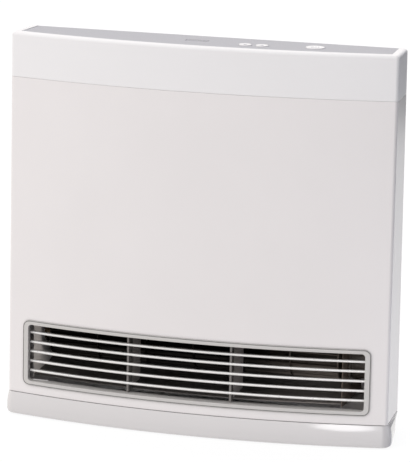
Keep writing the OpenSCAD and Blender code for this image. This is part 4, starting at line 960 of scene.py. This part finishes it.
# soft dome: bright above the front, dim to the right, and a dim band low behind; spans are directions
light = {"strength": 1.215, "heightSpan": (-0.5, 0.7), "below": 0.72, "above": 1.14,
         "rightSpan": (0.42, 0.72), "rightLevel": 0.16, "behindSpan": (0.55, 0.8),
         "bandStart": (-0.182, -0.158), "bandEnd": (0.02, 0.16), "bandLevel": 0.12,
         "white": (1.0, 0.985, 0.975), "tint": (0.86, 0.90, 1.0), "tintSpan": (0.0, 0.7),
         "glintAzimuth": 9.0, "glintHeight": -1.0, "glintInner": 2.5, "glintOuter": 6.0, "glint": 3.0,
         "backdrop": 1.02}
lamps = {"lowRight": {"size": (0.30, 0.10), "power": 0.20, "tint": (0.92, 0.94, 1.0), "spread": 120.0,
                      "place": (0.52, -0.03, 0.02), "aim": (0.22, 0.0, 0.08)},
         "ductFill": {"size": (0.03, 0.05), "power": 0.0035, "tint": (1.0, 0.95, 0.92), "spread": 100.0,
                      "place": (-0.14, -0.02, 0.075), "aim": (-0.2, -0.022, 0.075)}}
floor = {"radius": 9.0, "segments": 64, "shade": 0.16, "glow": 0.86, "rough": 0.9}


def addWorld():
    world = bpy.data.worlds.new("studio")
    world.use_nodes = True
    tree = world.node_tree
    background = tree.nodes["Background"]
    direction = put(tree, "TexCoord").outputs["Generated"]
    x, y, z = put(tree, "SeparateXYZ", {0: direction}).outputs

    def fade(value, span, first, last):
        return ramp(tree, value, *span, first, last, "SMOOTHSTEP")

    height = fade(z, light["heightSpan"], light["below"], light["above"])
    right = fade(x, light["rightSpan"], 1.0, light["rightLevel"])
    low, high = fade(z, light["bandStart"], 0.0, 1.0), fade(z, light["bandEnd"], 1.0, 0.0)
    band = times(tree, fade(y, light["behindSpan"], 0.0, 1.0), times(tree, low, high))
    level = times(tree, times(tree, height, right), fade(band, (0.0, 1.0), 1.0, light["bandLevel"]))
    # a small bright window beside the camera, which only the base's shoulder mirrors
    azimuth, rise = math.radians(light["glintAzimuth"]), math.radians(light["glintHeight"])
    toward = (math.sin(azimuth) * math.cos(rise), -math.cos(azimuth) * math.cos(rise), math.sin(rise))
    facing = put(tree, "VectorMath", {0: direction, 1: toward}, operation="DOT_PRODUCT").outputs[1]
    edge = [math.cos(math.radians(light[key])) for key in ("glintOuter", "glintInner")]
    level = combine(tree, "ADD", level, fade(facing, edge, 0.0, light["glint"]))
    tree.links.new(times(tree, level, light["strength"]), background.inputs["Strength"])
    shade = put(tree, "MixRGB", {"Fac": fade(x, light["tintSpan"], 0.0, 1.0),
                                 "Color1": (*light["white"], 1), "Color2": (*light["tint"], 1)})
    tree.links.new(shade.outputs[0], background.inputs["Color"])
    backdrop = put(tree, "Background", {"Color": (1, 1, 1, 1), "Strength": light["backdrop"]})
    seen = put(tree, "LightPath").outputs["Is Camera Ray"]  # a plain pale wall is all that shows behind
    mixed = put(tree, "MixShader", {0: seen, 1: background.outputs[0], 2: backdrop.outputs[0]})
    tree.links.new(mixed.outputs[0], tree.nodes["World Output"].inputs["Surface"])
    bpy.context.scene.world = world


def addLamp(name, spot):  # a soft rectangular lamp
    data = bpy.data.lights.new(name, "AREA")
    data.shape = "RECTANGLE"
    data.size, data.size_y = spot["size"]
    data.energy = spot["power"]
    data.color = spot["tint"]
    data.spread = math.radians(spot["spread"])
    lamp = show(bpy.data.objects.new(name, data))
    place, aim = Vector(spot["place"]), Vector(spot["aim"])
    turn = (aim - place).to_track_quat("-Z", "Y").to_matrix().to_4x4()
    lamp.matrix_world = Matrix.Translation(place) @ turn
    lamp.visible_camera = lamp.visible_glossy = False


def addFloor():
    bm = bmesh.new()
    bmesh.ops.create_circle(bm, cap_ends=True, segments=floor["segments"], radius=floor["radius"])
    mesh = bpy.data.meshes.new("floor")
    bm.to_mesh(mesh)
    bm.free()
    material = bpy.data.materials.new("floorWhite")
    material.use_nodes = True
    surface = material.node_tree.nodes["Principled BSDF"]
    for socket, value in (("Base Color", (*[floor["shade"]] * 3, 1)), ("Roughness", floor["rough"]),
                          ("Specular IOR Level", 0.0), ("Emission Color", (1, 1, 1, 1)),
                          ("Emission Strength", floor["glow"])):
        surface.inputs[socket].default_value = value
    mesh.materials.append(material)
    ground = show(bpy.data.objects.new("floor", mesh))
    ground.visible_diffuse = ground.visible_glossy = False


addCamera()
addWorld()
addFloor()
for name, spot in lamps.items():
    addLamp(name, spot)
bpy.context.scene.view_settings.view_transform = "Standard"
print("camera, light and floor set")
